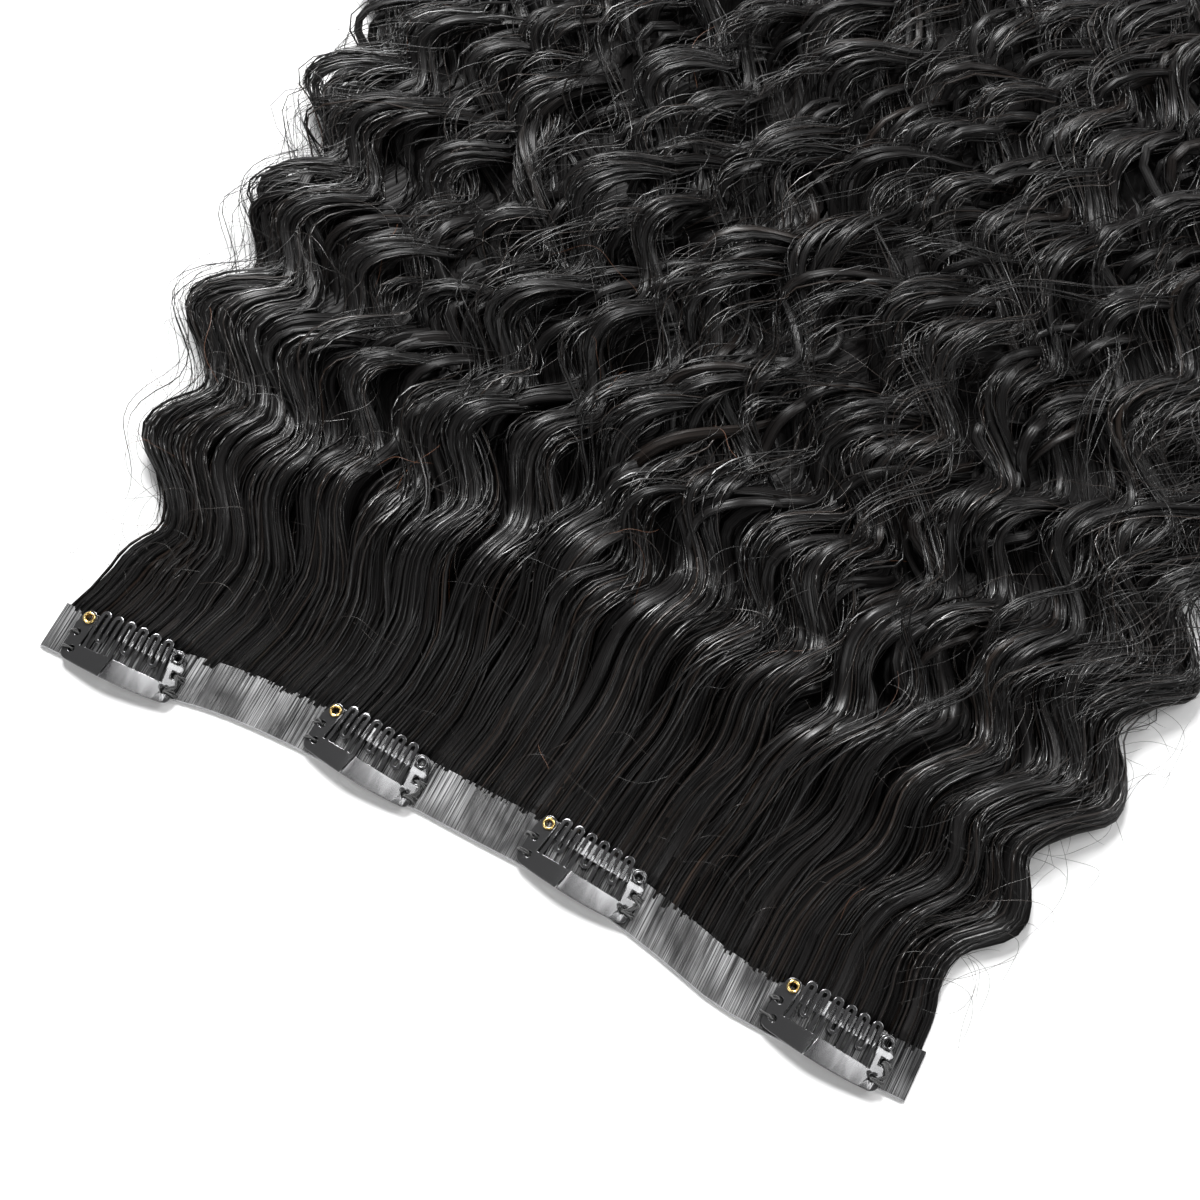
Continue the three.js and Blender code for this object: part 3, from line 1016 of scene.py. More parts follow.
    def plate_rise(self, x: float, y: float) -> float:
        """How far the plate stands over its level sheet at a point.

        Args:
            x: The place along the comb.
            y: The place across it.

        Returns:
            The rise, which the teeth's bow adds to and the settled lower edge takes from.
        """
        share = min(max((y + self.root) / (self.tip + self.root), 0.0), 1.0)
        on_tooth = abs(x) < self.rivet_spacing / 2.0 - self.lobe
        bow = self.bow * math.sin(math.pi * share) if on_tooth else 0.0
        lean = min(max((-y - self.lobe) / (self.drop - self.lobe), 0.0), 1.0)
        return bow - self.settle * lean

    def plate(self) -> Piece:
        """Stamps and bends the toothed plate.

        Returns:
            The plate's piece.
        """
        loops = [self.plate_outline()]
        loops += [self.tooth(tooth, True) for tooth in self.teeth if tooth]
        for end in (-1.0, 1.0):
            loops.append(circle(end * self.rivet_spacing / 2.0, 0.0, self.rivet_hole, 20))
        for inset, drop in self.holes:
            loops.append(circle(inset - self.half, -drop, self.hole_radius, 18))
        bm = stamp(loops, self.steel, 0.2, 3)
        slice_across(bm, np.linspace(-self.half, self.half, 23)[1:-1], (1.0, 0.0, 0.0))
        slice_across(bm, np.linspace(-self.root, self.tip, 9)[:-1], (0.0, 1.0, 0.0))
        for vert in bm.verts:
            x, y = vert.co.x, vert.co.y
            vert.co.z += self.plate_level + self.arch_at(x) + self.plate_rise(x, y)
        return weighted(from_bmesh(f"{self.name}_plate", bm, self.place))

    def bar(self) -> Piece:
        """Makes the tension bar behind the teeth.

        Returns:
            The bar's piece.
        """
        half_rivets, turn = self.rivet_spacing / 2.0, self.bar_width / 2.0
        outline = turn_points(-half_rivets, self.bar_offset, turn, math.pi / 2.0, math.pi, 12)
        outline += turn_points(half_rivets, self.bar_offset, turn, -math.pi / 2.0, math.pi, 12)
        holes = [circle(end * half_rivets, 0.0, self.rivet_hole, 20) for end in (-1, 1)]
        bm = stamp([outline, *holes], self.steel, 0.14, 2)
        slice_across(bm, np.linspace(-half_rivets, half_rivets, 19), (1.0, 0.0, 0.0))
        for vert in bm.verts:
            vert.co.z += self.bar_level + self.arch_at(vert.co.x)
        return weighted(from_bmesh(f"{self.name}_bar", bm, self.place))

    def rivet(self, end: float, finish: str) -> Piece:
        """Turns one hollow rivet with a rolled head.

        Args:
            end: -1 for the left end, 1 for the right.
            finish: The word for its finish, brass or black.

        Returns:
            The rivet's piece.
        """
        shank = self.bore + 0.25
        middle = (self.bore + self.head) / 2.0
        roll_level = self.head_level + 0.12
        profile = [(shank, self.bar_level), (shank, self.head_level), (self.head - 0.1, self.head_level)]
        profile += [
            (middle + (self.head - middle) * math.cos(a), roll_level + self.roll * math.sin(a))
            for a in np.linspace(0.0, math.pi, 9)
        ]
        profile += [(self.bore, self.bar_level)]
        bm = bmesh.new()
        verts = [bm.verts.new((r, 0.0, z)) for r, z in profile]
        edges = [bm.edges.new(pair) for pair in zip(verts, verts[1:] + verts[:1])]
        bmesh.ops.spin(
            bm, geom=verts + edges, cent=(0.0, 0.0, 0.0), axis=(0.0, 0.0, 1.0), angle=2.0 * math.pi,
            steps=self.rivet_sides, use_merge=True,
        )
        x = end * self.rivet_spacing / 2.0
        seat = Matrix.Translation((x, 0.0, self.arch_at(x)))
        return from_bmesh(f"{self.name}_{finish}_eyelet", bm, self.place @ seat, math.radians(50))

    def stitches(self, rng: Generator) -> Piece:
        """Winds the sewing thread through the holes, over the plate's ends and down to the band.

        Args:
            rng: The seeded source of its unevenness.

        Returns:
            The thread's piece.
        """
        routes = []
        for end in (-1.0, 1.0):
            turns = 3 if end > 0 else 2
            for inset, drop in self.holes:
                for turn in range(turns):
                    routes.append(self.stitch(end, inset, drop, turn - (turns - 1) / 2.0, rng))
            if end > 0:
                routes += [self.crossing(end, share, rng) for share in (0.0, 0.5, 1.0)]
        paths = np.array([smooth_path(route, 22) for route in routes])
        local = np.concatenate([paths, np.ones((*paths.shape[:2], 1))], axis=2)
        placed = local @ np.array(self.place).T
        count, steps = paths.shape[:2]
        wide = np.full((count, steps), self.thread)
        rolls, tones, offsets = np.zeros((count, steps)), np.zeros(count), np.arange(count) * 1.7
        tubes = Tubes(placed[..., :3], wide, wide, rolls, tones, offsets, 7)
        return link(f"{self.name}_thread", tubes.mesh(f"{self.name}_thread"))

    def stitch(self, end: float, inset: float, drop: float, shift: float, rng: Generator) -> Array:
        """One turn of thread, from the band beside the plate over its edge and down its hole.

        Args:
            end: -1 for the left end, 1 for the right.
            inset: How far the hole lies from the plate's end.
            drop: How far it lies from the rivets' line.
            shift: Which turn this is, from the middle one.
            rng: The seeded source of its unevenness.

        Returns:
            The route's points.
        """
        top = self.plate_level + self.steel + self.plate_rise(self.half, -drop)
        top += self.arch_at(self.half - inset)
        wander = rng.normal(0.0, 0.16, (5, 2))
        rows = [
            (self.half + 0.75, -drop - 0.5 * shift, -0.15),
            (self.half + 0.42, -drop - 0.45 * shift, 0.55),
            (self.half - 0.2, -drop - 0.4 * shift, top + 0.24 + 0.1 * abs(shift)),
            (self.half - inset + 0.45, -drop - 0.2 * shift, top + 0.2),
            (self.half - inset, -drop, 0.0),
        ]
        points = np.array(rows)
        points[:, :2] += wander
        points[:, 0] *= end
        return points

    def crossing(self, end: float, share: float, rng: Generator) -> Array:
        """A turn of thread that runs from one hole to the other over the plate's end.

        Args:
            end: The end that it lies at.
            share: How far over it lies, from 0 to 1.
            rng: The seeded source of its unevenness.

        Returns:
            The route's points.
        """
        (inset_1, drop_1), (inset_2, drop_2) = self.holes
        top = self.plate_level + self.steel + 0.35
        middle = (drop_1 + drop_2) / 2.0
        points = np.array([
            (self.half - inset_1, -drop_1, 0.5),
            (self.half - inset_1 + 0.9, -drop_1 - 0.5, top + 0.1),
            (self.half + 0.1 + 0.3 * share, -middle, top - 0.1 + 0.25 * share),
            (self.half - inset_2 + 1.1, -drop_2 + 0.7, top - 0.1),
            (self.half - inset_2, -drop_2, 0.3),
        ])
        points[:, :2] += rng.normal(0.0, 0.22, (5, 2))
        points[:, 0] *= end
        return points

    def build(self, finishes: dict[Slot, Material], rng: Generator) -> list[Piece]:
        """Builds the comb's pieces, dresses the plate, bar and rivets and hangs them on their bodies, and
        gives the thread its material.

        Args:
            finishes: The materials by slot.
            rng: The seeded source of the thread's unevenness.

        Returns:
            The pieces.
        """
        jobs = [
            (self.plate(), "toothed_plate", Slot.STEEL, self.name),
            (self.bar(), "tension_bar", Slot.STEEL, Body.WEFT.value),
            (self.rivet(-1.0, "brass"), "brass_rivet", Slot.BRASS, self.name),
            (self.rivet(1.0, "black"), "black_rivet", Slot.BLACK_RIVET, self.name),
        ]
        for piece, node, slot, body in jobs:
            dress(piece, finishes[slot], body, f"{self.name}_{node}")
        thread = self.stitches(rng)
        thread.data.materials.append(finishes[Slot.THREAD])
        foot = self.place.translation * MM
        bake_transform(thread)
        return [job[0] for job in jobs] + [thread]


def smooth_path(points: Array, steps: int) -> Array:
    """A smooth route through a few points.

    Args:
        points: The points, one a row.
        steps: How many points the route has.

    Returns:
        The route.
    """
    padded = np.concatenate([2 * points[:1] - points[1:2], points, 2 * points[-1:] - points[-2:-1]])
    places = np.linspace(0.0, len(points) - 1.0001, steps)
    low = places.astype(int)
    t = (places - low)[:, None]
    a, b, c, d = (padded[low + k] for k in range(4))
    return 0.5 * (2 * b + (c - a) * t + (2 * a - 5 * b + 4 * c - d) * t**2 + (3 * b - a - 3 * c + d) * t**3)


@dataclass
class Clumps:
    """The clumps that one tier of the hair gathers into, one entry a clump."""

    place: Array
    level: Array
    radius: Array
    lag: Array
    pace: Array
    swing: Array
    twist: Array
    length: Array
    drift: Array
    drift_turn: Array


@dataclass(frozen=True)
class Tier:
    """How many clumps a tier has, how high in the pile they lie and how freely they wander."""

    count: int
    level: float
    radius: float
    loose: float
    spread: float = 1.0

    def clumps(self, rng: Generator) -> Clumps:
        """Lays out the tier's clumps.

        Args:
            rng: The seeded source of their differences.

        Returns:
            The clumps.
        """
        count = self.count
        place = self.spread * (np.linspace(-1.0, 1.0, count) + rng.normal(0.0, 0.3 / count, count))
        return Clumps(
            place=np.clip(place, -1.0, 1.0),
            level=self.level * rng.uniform(0.8, 1.15, count),
            radius=self.radius * rng.uniform(0.7, 1.3, count),
            lag=rng.uniform(-1.5, 1.5, count) * self.loose,
            pace=rng.normal(0.0, 0.1 * self.loose, count),
            swing=rng.uniform(0.7, 1.25, count),
            twist=rng.choice([-1.0, 1.0], count) * rng.uniform(0.5, 1.4, count),
            length=rng.uniform(0.965, 1.0, count),
            drift=rng.normal(0.0, 0.04 * self.loose, count),
            drift_turn=rng.uniform(0.0, 2.0 * np.pi, count),
        )


@dataclass(frozen=True)
class Deal:
    """One piece of the hair: how many locks or strands it deals to a tier, and what they are like."""

    name: str
    tier: str
    count: int
    ring: Point2
    width: Point2
    depth: float
    sides: int
    steps: int
    stretch: Point2 | None = None
    tone: Point2 = (0.2, 0.2)
    shine: Shine = Shine.FULL
    over: float = 0.0
    frizz: float = 0.12


@dataclass
class Mane:
    """The hair: how it leaves the band, waves, gathers into clumps and lies on the floor."""

    band: Band
    length: float = 307.0
    near: float = 190.0
    root_height: float = 0.85
    root_lap: float = 0.35
    root_cover: float = 0.9
    pile_height: float = 12.0
    wave_length: float = 34.0
    wave_swing: float = 4.4
    wave_lift: float = 3.6
    seed: int = 20260
    reach: tuple[float, ...] = (0.0, 0.04, 0.08, 0.13, 0.18, 0.25, 0.35, 0.5, 0.7, 1.0)
    left: tuple[float, ...] = (-0.995, -0.95, -0.945, -0.99, -1.03, -1.09, -1.1, -1.14, -1.19, -1.2)
    right: tuple[float, ...] = (0.99, 0.985, 1.0, 1.05, 1.1, 1.13, 1.16, 1.2, 1.24, 1.25)
    lag_places: tuple[float, ...] = (-1.0, -0.5, 0.0, 0.5, 1.0)
    lags: tuple[float, ...] = (165.0, 190.0, 120.0, 150.0, 110.0)
    tiers: dict[str, Tier] = field(default_factory=lambda: {
        "low": Tier(count=24, level=0.5, radius=7.2, loose=1.0),
        "high": Tier(count=17, level=0.84, radius=5.2, loose=1.25),
        "stray": Tier(count=15, level=1.04, radius=2.6, loose=1.8, spread=0.9),
        "edge": Tier(count=2, level=0.6, radius=6.0, loose=1.0),
    })
    deals: tuple[Deal, ...] = (
        # The low tier's wide locks and wisps take the painted-shade finish.
        Deal(
            "hair_locks_1", "low", 96, (0.0, 1.0), (3.4, 5.4), 0.3, 5, 104,
            tone=(0.12, 0.13), shine=Shine.PAINTED_SHADE,
        ),
        Deal(
            "hair_locks_2", "high", 88, (0.0, 0.9), (2.4, 4.4), 0.3, 5, 104,
            tone=(0.12, 0.13), shine=Shine.LOCK,
        ),
        Deal(
            "hair_wisps_1", "low", 200, (0.3, 1.25), (0.5, 1.1), 0.3, 3, 84,
            shine=Shine.PAINTED_SHADE, over=0.7,
        ),
        Deal("hair_wisps_2", "high", 325, (0.3, 1.15), (0.35, 0.95), 0.35, 3, 84, over=1.0),
        Deal("hair_wisps_3", "stray", 80, (0.0, 1.1), (0.35, 0.9), 0.4, 3, 84, over=1.0),
        Deal("hair_strands_1", "high", 700, (0.5, 1.12), (0.14, 0.28), 0.9, 3, 36, (60.0, 130.0), over=1.0),
        Deal("hair_strands_2", "low", 250, (0.5, 1.15), (0.14, 0.26), 0.9, 3, 36, (60.0, 130.0), over=0.9),
        Deal("hair_strands_3", "stray", 260, (0.0, 1.3), (0.14, 0.28), 0.9, 3, 36, (50.0, 110.0), frizz=0.5),
        Deal("hair_fringe", "edge", 250, (0.5, 2.3), (0.14, 0.34), 0.8, 3, 36, (60.0, 120.0), frizz=2.6),
    )
    loose_hairs: int = 820
    finishes: dict[Shine, HairFinish] = field(default_factory=lambda: {
        Shine.FULL: HairFinish(),
        Shine.LOCK: HairFinish(gloss=0.5, rough=(0.3, 0.5), strand=0.3),
        # Painted shade: the two finishes below turn the gloss down to stand in for the shade deep in the
        # pile.
        Shine.PAINTED_SHADE: HairFinish(gloss=0.28, rough=(0.3, 0.48)),
        Shine.UNDER_PAINTED_SHADE: HairFinish(gloss=0.1, rough=(0.4, 0.6), strand=0.55),
    })

    def span(self, s: Array) -> tuple[Array, Array]:
        """The middle and the half width of the hair.

        Args:
            s: How far from the band's edge.

        Returns:
            The middles and the half widths.
        """
        half = self.band.length / 2.0
        left = half * np.interp(s / self.length, self.reach, self.left)
        right = half * np.interp(s / self.length, self.reach, self.right)
        return (left + right) / 2.0, (right - left) / 2.0

    def lag_at(self, u: Array, s: Array) -> Array:
        """How far the wave lags across the width: kept at the two sides, uneven between them.

        Args:
            u: The place across, from -1 to 1.
            s: How far from the band's edge.

        Returns:
            The lag, in radians.
        """
        uneven = 0.8 * np.sin(u * 14.0 + s / 60.0) + 0.6 * np.sin(u * 25.0 + 1.3)
        return np.radians(np.interp(u, self.lag_places, self.lags)) + uneven * (1.0 - np.abs(u) ** 3)

    def phase(self, y: Array, u: Array, s: Array) -> Array:
        """Where in its wave the hair is at a place, in radians."""
        return 2.0 * np.pi * y / self.wave_length + self.lag_at(u, s)

    def pile(self, u: Array, s: Array) -> Array:
        """The height of the pile of hair over the floor.

        Args:
            u: The place across, from -1 to 1.
            s: How far from the band's edge.

        Returns:
            The heights.
        """
        rise = ramp(s, 1.0, 48.0)
        flank = 1.0 - 0.62 * np.clip(np.abs(u), 0.0, 1.2) ** 3.0
        end = 1.0 - 0.45 * ramp(s, 190.0, self.length)
        swell = 1.0 + 0.13 * np.sin(u * 9.0 + s / 31.0) * rise + 0.08 * np.sin(s / 17.0 - u * 5.0)
        return self.root_height + (self.pile_height * flank * end * swell) * rise

    def stations(self, deal: Deal, length: Array, rng: Generator) -> Array:
        """How far from the band each station of each hair lies; for full-length hairs, closer together
        within the near stretch.

        Args:
            deal: The piece of hair.
            length: Each hair's full length.
            rng: The seeded source of where short stretches begin.

        Returns:
            One row a hair.
        """
        even = np.linspace(0.0, 1.0, deal.steps)
        if deal.stretch is None:
            shares = np.interp(even, (0.0, 0.7, 1.0), (0.0, self.near / self.length, 1.0))
            lap = self.root_lap + deal.over * rng.uniform(0.0, 0.9, deal.count)
            return length[:, None] * shares[None, :] - lap[:, None]
        long = rng.uniform(*deal.stretch, deal.count)
        start = rng.beta(0.95, 1.0, deal.count) * (length - long) - self.root_lap
        return start[:, None] + long[:, None] * even[None, :]

    def paths(self, deal: Deal, clumps: Clumps, rng: Generator) -> Array:
        """The paths of a piece's locks or strands, each in its clump.

        Args:
            deal: The piece of hair.
            clumps: The clumps that it is dealt to.
            rng: The seeded source of the hairs' differences.

        Returns:
            The paths, one row each.
        """
        own = np.arange(deal.count) % len(clumps.place)
        ring = np.sqrt(rng.uniform(deal.ring[0] ** 2, deal.ring[1] ** 2, deal.count))[:, None]
        turn = rng.uniform(0.0, 2.0 * np.pi, deal.count)[:, None]
        s = self.stations(deal, self.length * clumps.length[own] * rng.uniform(0.95, 1.0, deal.count), rng)
        gathered = ramp(s, 4.0, 58.0)
        spacing = min(self.band.length / len(clumps.place) * 0.6, 9.0)
        radius = clumps.radius[own, None]
        wide = (spacing * (1.0 - gathered) + radius * gathered) * (1.0 - 0.1 * ramp(s, 220.0, 290.0))
        tall = 0.25 + (0.52 * radius - 0.25) * gathered
        middle, half = self.span(s)
        wander = clumps.drift[own, None] * np.sin(2.0 * np.pi * s / 170.0 + clumps.drift_turn[own, None])
        u = np.clip(clumps.place[own, None] + wander * ramp(s, 15.0, 120.0), -1.0, 1.0)
        inset = 0.8 + wide * (0.95 - 0.1 * gathered)
        x = middle + u * (half - inset)
        y = self.band.upper_edge(x) + s

        free = ramp(s, 35.0, 170.0)
        phase = self.phase(y, u, s)
        side = 1.0 - np.abs(u) ** 4 * (0.85 - 0.35 * free)
        lag = clumps.lag[own] + rng.normal(0.0, deal.frizz, deal.count)
        phase += lag[:, None] * (0.25 + 1.2 * free) * side
        pace = clumps.pace[own, None] * np.maximum(s - 50.0, 0.0)
        phase += pace * 2.0 * np.pi / self.wave_length * side
        swing = self.wave_swing * clumps.swing[own, None] * rng.normal(1.0, 0.08, deal.count)[:, None]
        calm = 36.0 + 60.0 * (1.0 - np.abs(u) ** 3)
        swing = swing * ramp(s / calm, 0.0, 1.0) * (1.0 + 0.35 * free)
        pile = self.pile(u, s)
        lift = self.wave_lift * ramp(s, 10.0, 80.0) * np.minimum(pile / self.pile_height, 1.0)

        angle = turn + clumps.twist[own, None] * 2.0 * np.pi * s / 105.0 * free
        path = np.empty((*s.shape, 3))
        limit = half - 0.8 + 30.0 * ramp(s, 2.0, 60.0)
        aside = x - middle + swing * np.sin(phase) + ring * wide * np.cos(angle)
        path[..., 0] = middle + np.clip(aside, -limit, limit)
        path[..., 1] = y + 0.1 * swing * np.cos(2.0 * phase)
        height = pile * clumps.level[own, None] + lift * np.cos(phase + 0.6)
        height += ring * tall * np.sin(angle)
        height += self.root_cover * deal.over * (1.0 - ramp(s, 30.0, 90.0))
        root = self.root_height * (0.5 + 0.12 * np.sin(turn) + 0.5 * deal.over)
        path[..., 2] = root + (height - root) * ramp(s, -1.0, 30.0)
        return path

    def tubes(self, deal: Deal, paths: Array, rng: Generator) -> Tubes:
        """Gives paths a flattened section that tapers to its ends.

        Args:
            deal: The piece of hair.
            paths: Its paths.
            rng: The seeded source of their differences.

        Returns:
            The tubes.
        """
        count, steps = paths.shape[:2]
        share = np.linspace(0.0, 1.0, steps)[None, :]
        taper = 1.0 - 0.4 * ramp(share, 0.15, 0.5) - 0.5 * ramp(share, 0.88, 1.0)
        if deal.stretch is not None:
            taper = taper * (0.15 + 0.85 * ramp(share, 0.0, 0.2))
        half = rng.uniform(*deal.width, count)[:, None] / 2.0 * taper
        sway = 0.4 * np.sin(share * 27.0 + rng.uniform(0.0, 2.0 * np.pi, count)[:, None])
        rolls = (rng.normal(0.0, 0.3, count)[:, None] + sway) * ramp(share, 0.04, 0.2)
        flat = 0.45 + 0.55 * ramp(share, 0.0, 0.12) if deal.stretch is None else 1.0
        deep = half * deal.depth * flat
        paths[..., 2] = np.maximum(paths[..., 2], deep + 0.05)
        tones = np.clip(rng.normal(*deal.tone, count), 0.0, 0.75)
        return Tubes(paths, half, deep, rolls, tones, rng.uniform(0.0, 90.0, count), deal.sides)

    def mat(self) -> Piece:
        """The mass of hair under the locks, waved as they are and closed down to the floor.

        Returns:
            Its piece.
        """
        bm = bmesh.new()
        bmesh.ops.create_grid(bm, x_segments=64, y_segments=92, size=0.5)
        low = bmesh.ops.extrude_face_region(bm, geom=bm.faces[:], use_keep_orig=True)["geom"]
        floor = {item for item in low if isinstance(item, BMVert)}
        lay = bm.loops.layers.uv.new(LAY_MAP)
        for face in bm.faces:
            for loop in face.loops:
                loop[lay].uv = (loop.vert.co.x * self.band.length, loop.vert.co.y * self.length)
        for vert in bm.verts:
            u = np.array(vert.co.x * 2.0)
            end = 0.87 + 0.03 * math.sin(u * 17.0) + 0.02 * math.sin(u * 41.0)
            s = np.array((vert.co.y + 0.5) * self.length * end + 0.3)
            middle, half = self.span(s)
            x = middle + u * (half - 2.0 - 3.0 * ramp(s, 5.0, 40.0))
            y = self.band.upper_edge(x) + s
            uneven = 1.7 * np.sin(u * 31.0) * ramp(s, 35.0, 170.0)
            phase = self.phase(y, u, s) + uneven
            rim = min(1.0, 8.0 * (0.5 - abs(vert.co.x)), 6.0 * (0.5 - vert.co.y))
            grown = ramp(s, 6.0, 70.0) * rim
            wave = 1.2 * np.cos(phase + 0.6) * grown
            rise = max(0.0, float(self.pile(u, s) * 0.4 * grown + wave))
            height = 0.12 if vert in floor else 0.22 + rise
            swing = self.wave_swing * ramp(s, 10.0, 80.0)
            vert.co = (float(x + swing * np.sin(phase)), float(y), height)
        return from_bmesh("hair_mat", bm, Matrix.Identity(4))

    def flyaways(self, paths: Array, rng: Generator) -> Tubes:
        """Single hairs that have come loose from the wisps.

        Args:
            paths: The wisps' paths, which they leave.
            rng: The seeded source of their differences.

        Returns:
            The hairs.
        """
        count, steps = self.loose_hairs, 18
        at = (rng.beta(0.9, 1.4, count) * (paths.shape[1] - 8)).astype(int) + 2
        picks = rng.integers(0, len(paths), (count, 12))
        reach = np.abs(paths[picks, at[:, None], 0])
        outer = np.arange(count) % 3 == 0
        own = np.where(outer, picks[np.arange(count), reach.argmax(axis=1)], picks[:, 0])
        start = paths[own, at]
        ahead = paths[own, at + 1] - start
        heading = np.arctan2(ahead[:, 1], ahead[:, 0]) + rng.normal(0.0, 0.6, count)
        heading -= np.where(outer, np.sign(start[:, 0]) * rng.uniform(0.1, 0.9, count), 0.0)
        bend = rng.normal(0.0, 0.06, count)
        step = rng.uniform(10.0, 38.0, count) / steps
        turn = heading[:, None] + bend[:, None] * step[:, None] * np.arange(steps)[None, :]
        turn += 0.35 * np.sin(np.arange(steps)[None, :] * rng.uniform(0.25, 0.6, count)[:, None])
        out = np.empty((count, steps, 3))
        out[..., 0] = start[:, 0:1] + np.cumsum(np.cos(turn), axis=1) * step[:, None]
        out[..., 1] = start[:, 1:2] + np.cumsum(np.sin(turn), axis=1) * step[:, None]
        lift = np.sin(np.linspace(0.0, np.pi, steps))[None, :] * rng.uniform(0.5, 4.0, count)[:, None]
        out[..., 2] = np.maximum(start[:, 2:3] + lift, 1.3)
        middle, half = self.span(np.maximum(out[..., 1], 0.0))
        beyond = np.maximum(np.abs(out[..., 0] - middle) - half, 0.0)
        out[..., 0] -= np.sign(out[..., 0] - middle) * (beyond - 9.0 * np.tanh(beyond / 9.0))
        edge = self.band.upper_edge(out[..., 0])
        short = np.maximum(edge + 2.0 - out[..., 1], 0.0)
        out[..., 1] += short - 4.0 * np.tanh(short / 4.0)
        out[..., 1] = np.minimum(out[..., 1], self.length + 4.0)
        wide = np.full((count, steps), 0.05)
        wide[:, -4:] *= np.array([0.9, 0.75, 0.55, 0.3])
        tones = np.where(rng.uniform(size=count) < 0.06, 0.9, rng.uniform(0.1, 0.75, count))
        return Tubes(out, wide, wide, np.zeros((count, steps)), tones, rng.uniform(0.0, 90.0, count), 3)

    def build(self) -> list[Piece]:
        """Builds all the hair.

        Returns:
            The pieces.
        """
        rng = np.random.default_rng(self.seed)
        clumps = {name: tier.clumps(rng) for name, tier in self.tiers.items()}
        finishes = {shine: finish.material(shine.value) for shine, finish in self.finishes.items()}
        # The mat takes the under finish: painted shade, with the least gloss.
        pieces, shines = [self.mat()], [Shine.UNDER_PAINTED_SHADE]
        wisps = []
        for deal in self.deals:
            tubes = self.tubes(deal, self.paths(deal, clumps[deal.tier], rng), rng)
            if "wisps" in deal.name:
                wisps.append(tubes.paths)
            pieces.append(link(deal.name, tubes.mesh(deal.name)))
            shines.append(deal.shine)
        loose = self.flyaways(np.concatenate(wisps), rng)
        pieces.append(link("hair_flyaways", loose.mesh("hair_flyaways")))
        shines.append(Shine.FULL)
        for piece, shine in zip(pieces, shines):
            dress(piece, finishes[shine], Body.WEFT.value, "hair")
        return pieces


@dataclass(frozen=True)
class SoftBox:
    """A soft box: which way it stands from the target, how far, its sides in metres and its watts."""

    name: str
    toward: Point3
    far: float
    size: Point2
    power: float


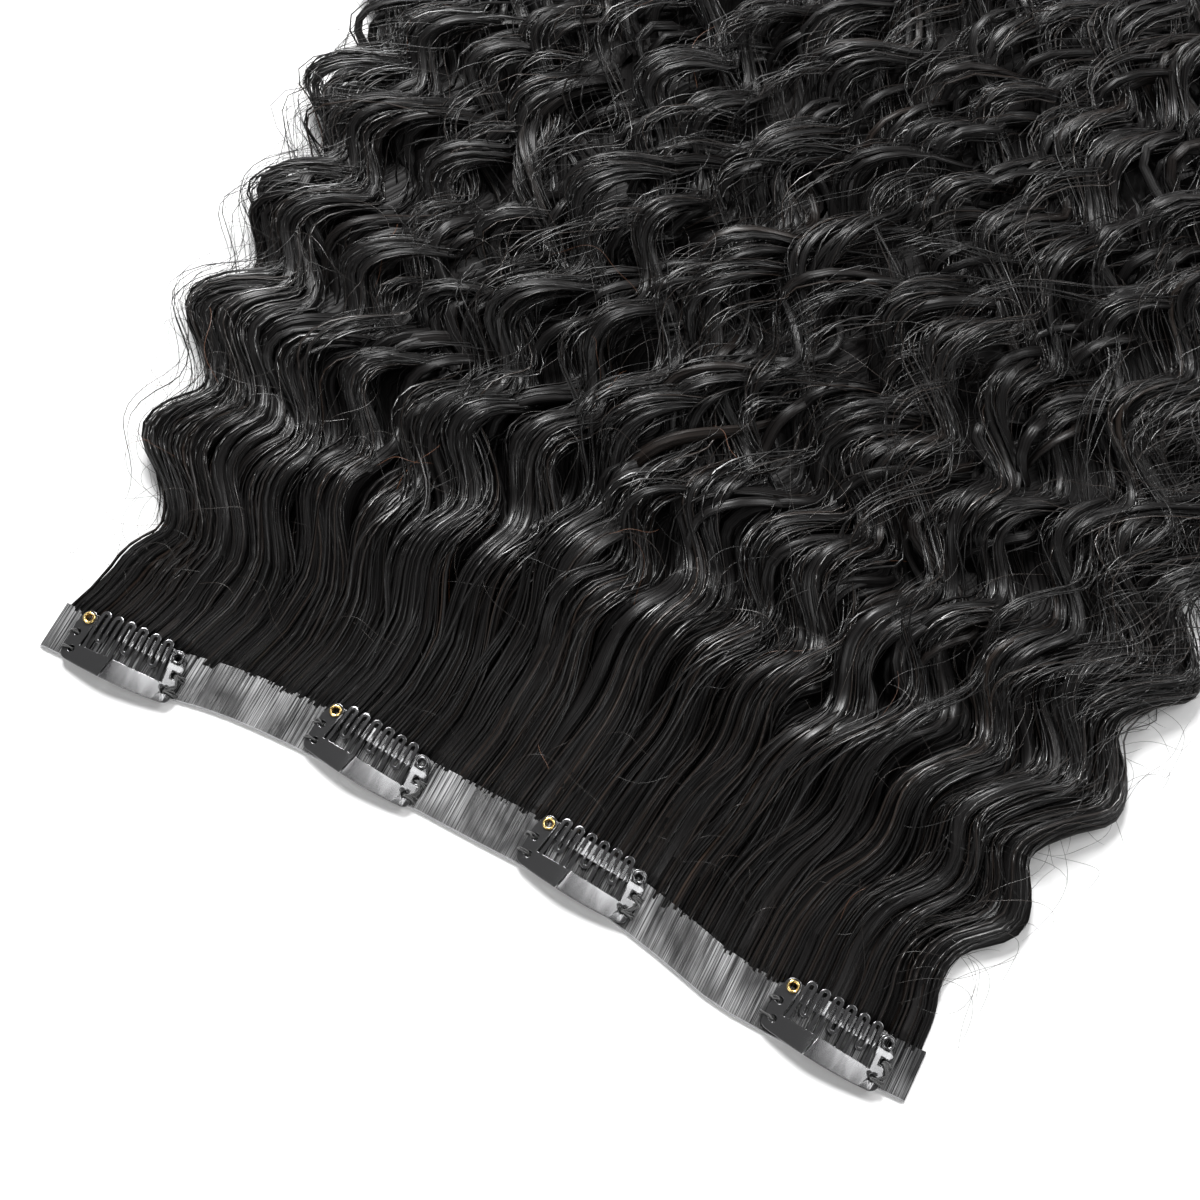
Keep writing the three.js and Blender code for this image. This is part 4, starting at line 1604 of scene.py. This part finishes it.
@dataclass
class Studio:
    """The floor, the soft lights and the camera."""

    target: Point3 = (0.0, 56.6, 0.0)
    distance: float = 400.0
    elevation: float = 72.41
    azimuth: float = 27.56
    lens: float = 52.19
    sensor: float = 36.0
    floor_side: float = 6.0
    world: float = 0.17
    spot_far: float = 550.0
    spot_radius: float = 0.052
    spot_cone: float = 7.0
    spot_power: float = 1.05
    gap_cone: float = 4.6
    gap_power: float = 1.6
    boxes: tuple[SoftBox, ...] = (
        SoftBox("key", (-0.5, 0.8, 0.85), 1300.0, (0.5, 0.42), 30.0),
        SoftBox("back", (0.55, 0.75, 0.75), 1300.0, (0.6, 0.4), 7.0),
        SoftBox("fill", (0.9, -0.6, 0.6), 1500.0, (0.5, 0.5), 3.0),
        SoftBox("front", (-0.4, -0.9, 0.6), 1500.0, (1.0, 0.6), 6.0),
    )

    @property
    def eye(self) -> Vector:
        """Where the camera stands.

        Returns:
            The place, in millimetres.
        """
        el, az = math.radians(self.elevation), math.radians(self.azimuth)
        away = Vector((math.sin(az) * math.cos(el), -math.cos(az) * math.cos(el), math.sin(el)))
        return Vector(self.target) + away * self.distance

    def hang(self, name: str, data: bpy.types.ID, place: Vector, target: Vector) -> Piece:
        """Hangs a lamp or the camera, turned to what it faces.

        Args:
            name: Its name.
            data: The lamp or the camera.
            place: Where it stands, in millimetres.
            target: What it faces, in millimetres.

        Returns:
            The new object.
        """
        obj = link(name, data)
        obj.location = place * MM
        obj.rotation_euler = (target - place).to_track_quat("-Z", "Y").to_euler()
        return obj

    def soft(self, box: SoftBox) -> None:
        """Adds a soft box that faces the target.

        Args:
            box: The soft box.
        """
        lamp = bpy.data.lights.new(box.name, "AREA")
        lamp.shape = "RECTANGLE"
        lamp.size, lamp.size_y = box.size
        lamp.energy = box.power
        target = Vector(self.target)
        self.hang(box.name, lamp, target + Vector(box.toward).normalized() * box.far, target)

    def spot(self, name: str, point: Vector, facing: Vector, cone: float, power: float) -> None:
        """Adds a narrow spot that a small face mirrors to the camera.

        Args:
            name: The spot's name.
            point: The face's middle, in millimetres.
            facing: The way that it faces.
            cone: How wide the spot spreads, in degrees.
            power: Its power in watts.
        """
        view = (self.eye - point).normalized()
        mirrored = 2.0 * facing.dot(view) * facing - view
        lamp = bpy.data.lights.new(name, "SPOT")
        lamp.shadow_soft_size = self.spot_radius
        lamp.spot_size, lamp.spot_blend = math.radians(cone), 0.5
        lamp.energy = power
        self.hang(name, lamp, point + mirrored * self.spot_far, point)

    def floor(self) -> None:
        """Adds the floor."""
        bm = bmesh.new()
        bmesh.ops.create_grid(bm, x_segments=1, y_segments=1, size=self.floor_side / 2.0)
        mesh = bpy.data.meshes.new("floor")
        bm.to_mesh(mesh)
        bm.free()
        mesh.materials.append(FloorFinish().material("floor"))
        link("floor", mesh)

    def build(self, combs: list[Comb]) -> None:
        """Builds the floor, the lights, the world and the camera.

        Args:
            combs: The combs, which get a spot each, as do the bare stretches between them.
        """
        scene = bpy.context.scene
        self.floor()
        for box in self.boxes:
            self.soft(box)
        for comb in combs:
            self.spot(f"{comb.name}_spot", *comb.glint, self.spot_cone, self.spot_power)
        for comb, other in zip(combs, combs[1:]):
            self.spot(f"{other.name}_gap_spot", *comb.bare_to(other), self.gap_cone, self.gap_power)
        world = bpy.data.worlds.new("studio")
        world.use_nodes = True
        sky = world.node_tree.nodes["Background"].inputs
        sky["Color"].default_value = (1.0, 1.0, 1.0, 1.0)
        sky["Strength"].default_value = self.world
        scene.world = world
        scene.view_settings.view_transform = "Standard"

        camera = bpy.data.cameras.new("camera")
        camera.lens, camera.sensor_width = self.lens, self.sensor
        camera.clip_start = 0.02
        scene.camera = self.hang("camera", camera, self.eye, Vector(self.target))


def main() -> None:
    """Builds the extension and its studio."""
    logging.basicConfig(level=logging.INFO, format="%(message)s")
    combs = [Comb(Body(joint["child"]).value, joint) for joint in frame["joints"]]
    Studio().build(combs)
    band = Band()
    report(band.build())
    finishes = {
        Slot.STEEL: LacquerFinish().material("steel"),
        Slot.BRASS: MetalFinish().material("brass"),
        Slot.BLACK_RIVET: LacquerFinish(rough=(0.14, 0.22)).material("black_rivet"),
        Slot.THREAD: ThreadFinish().material("thread"),
    }
    rng = np.random.default_rng(7)
    for comb in combs:
        for piece in comb.build(finishes, rng):
            report(piece)
    for piece in Mane(band).build():
        report(piece)


if __name__ == "__main__":
    main()
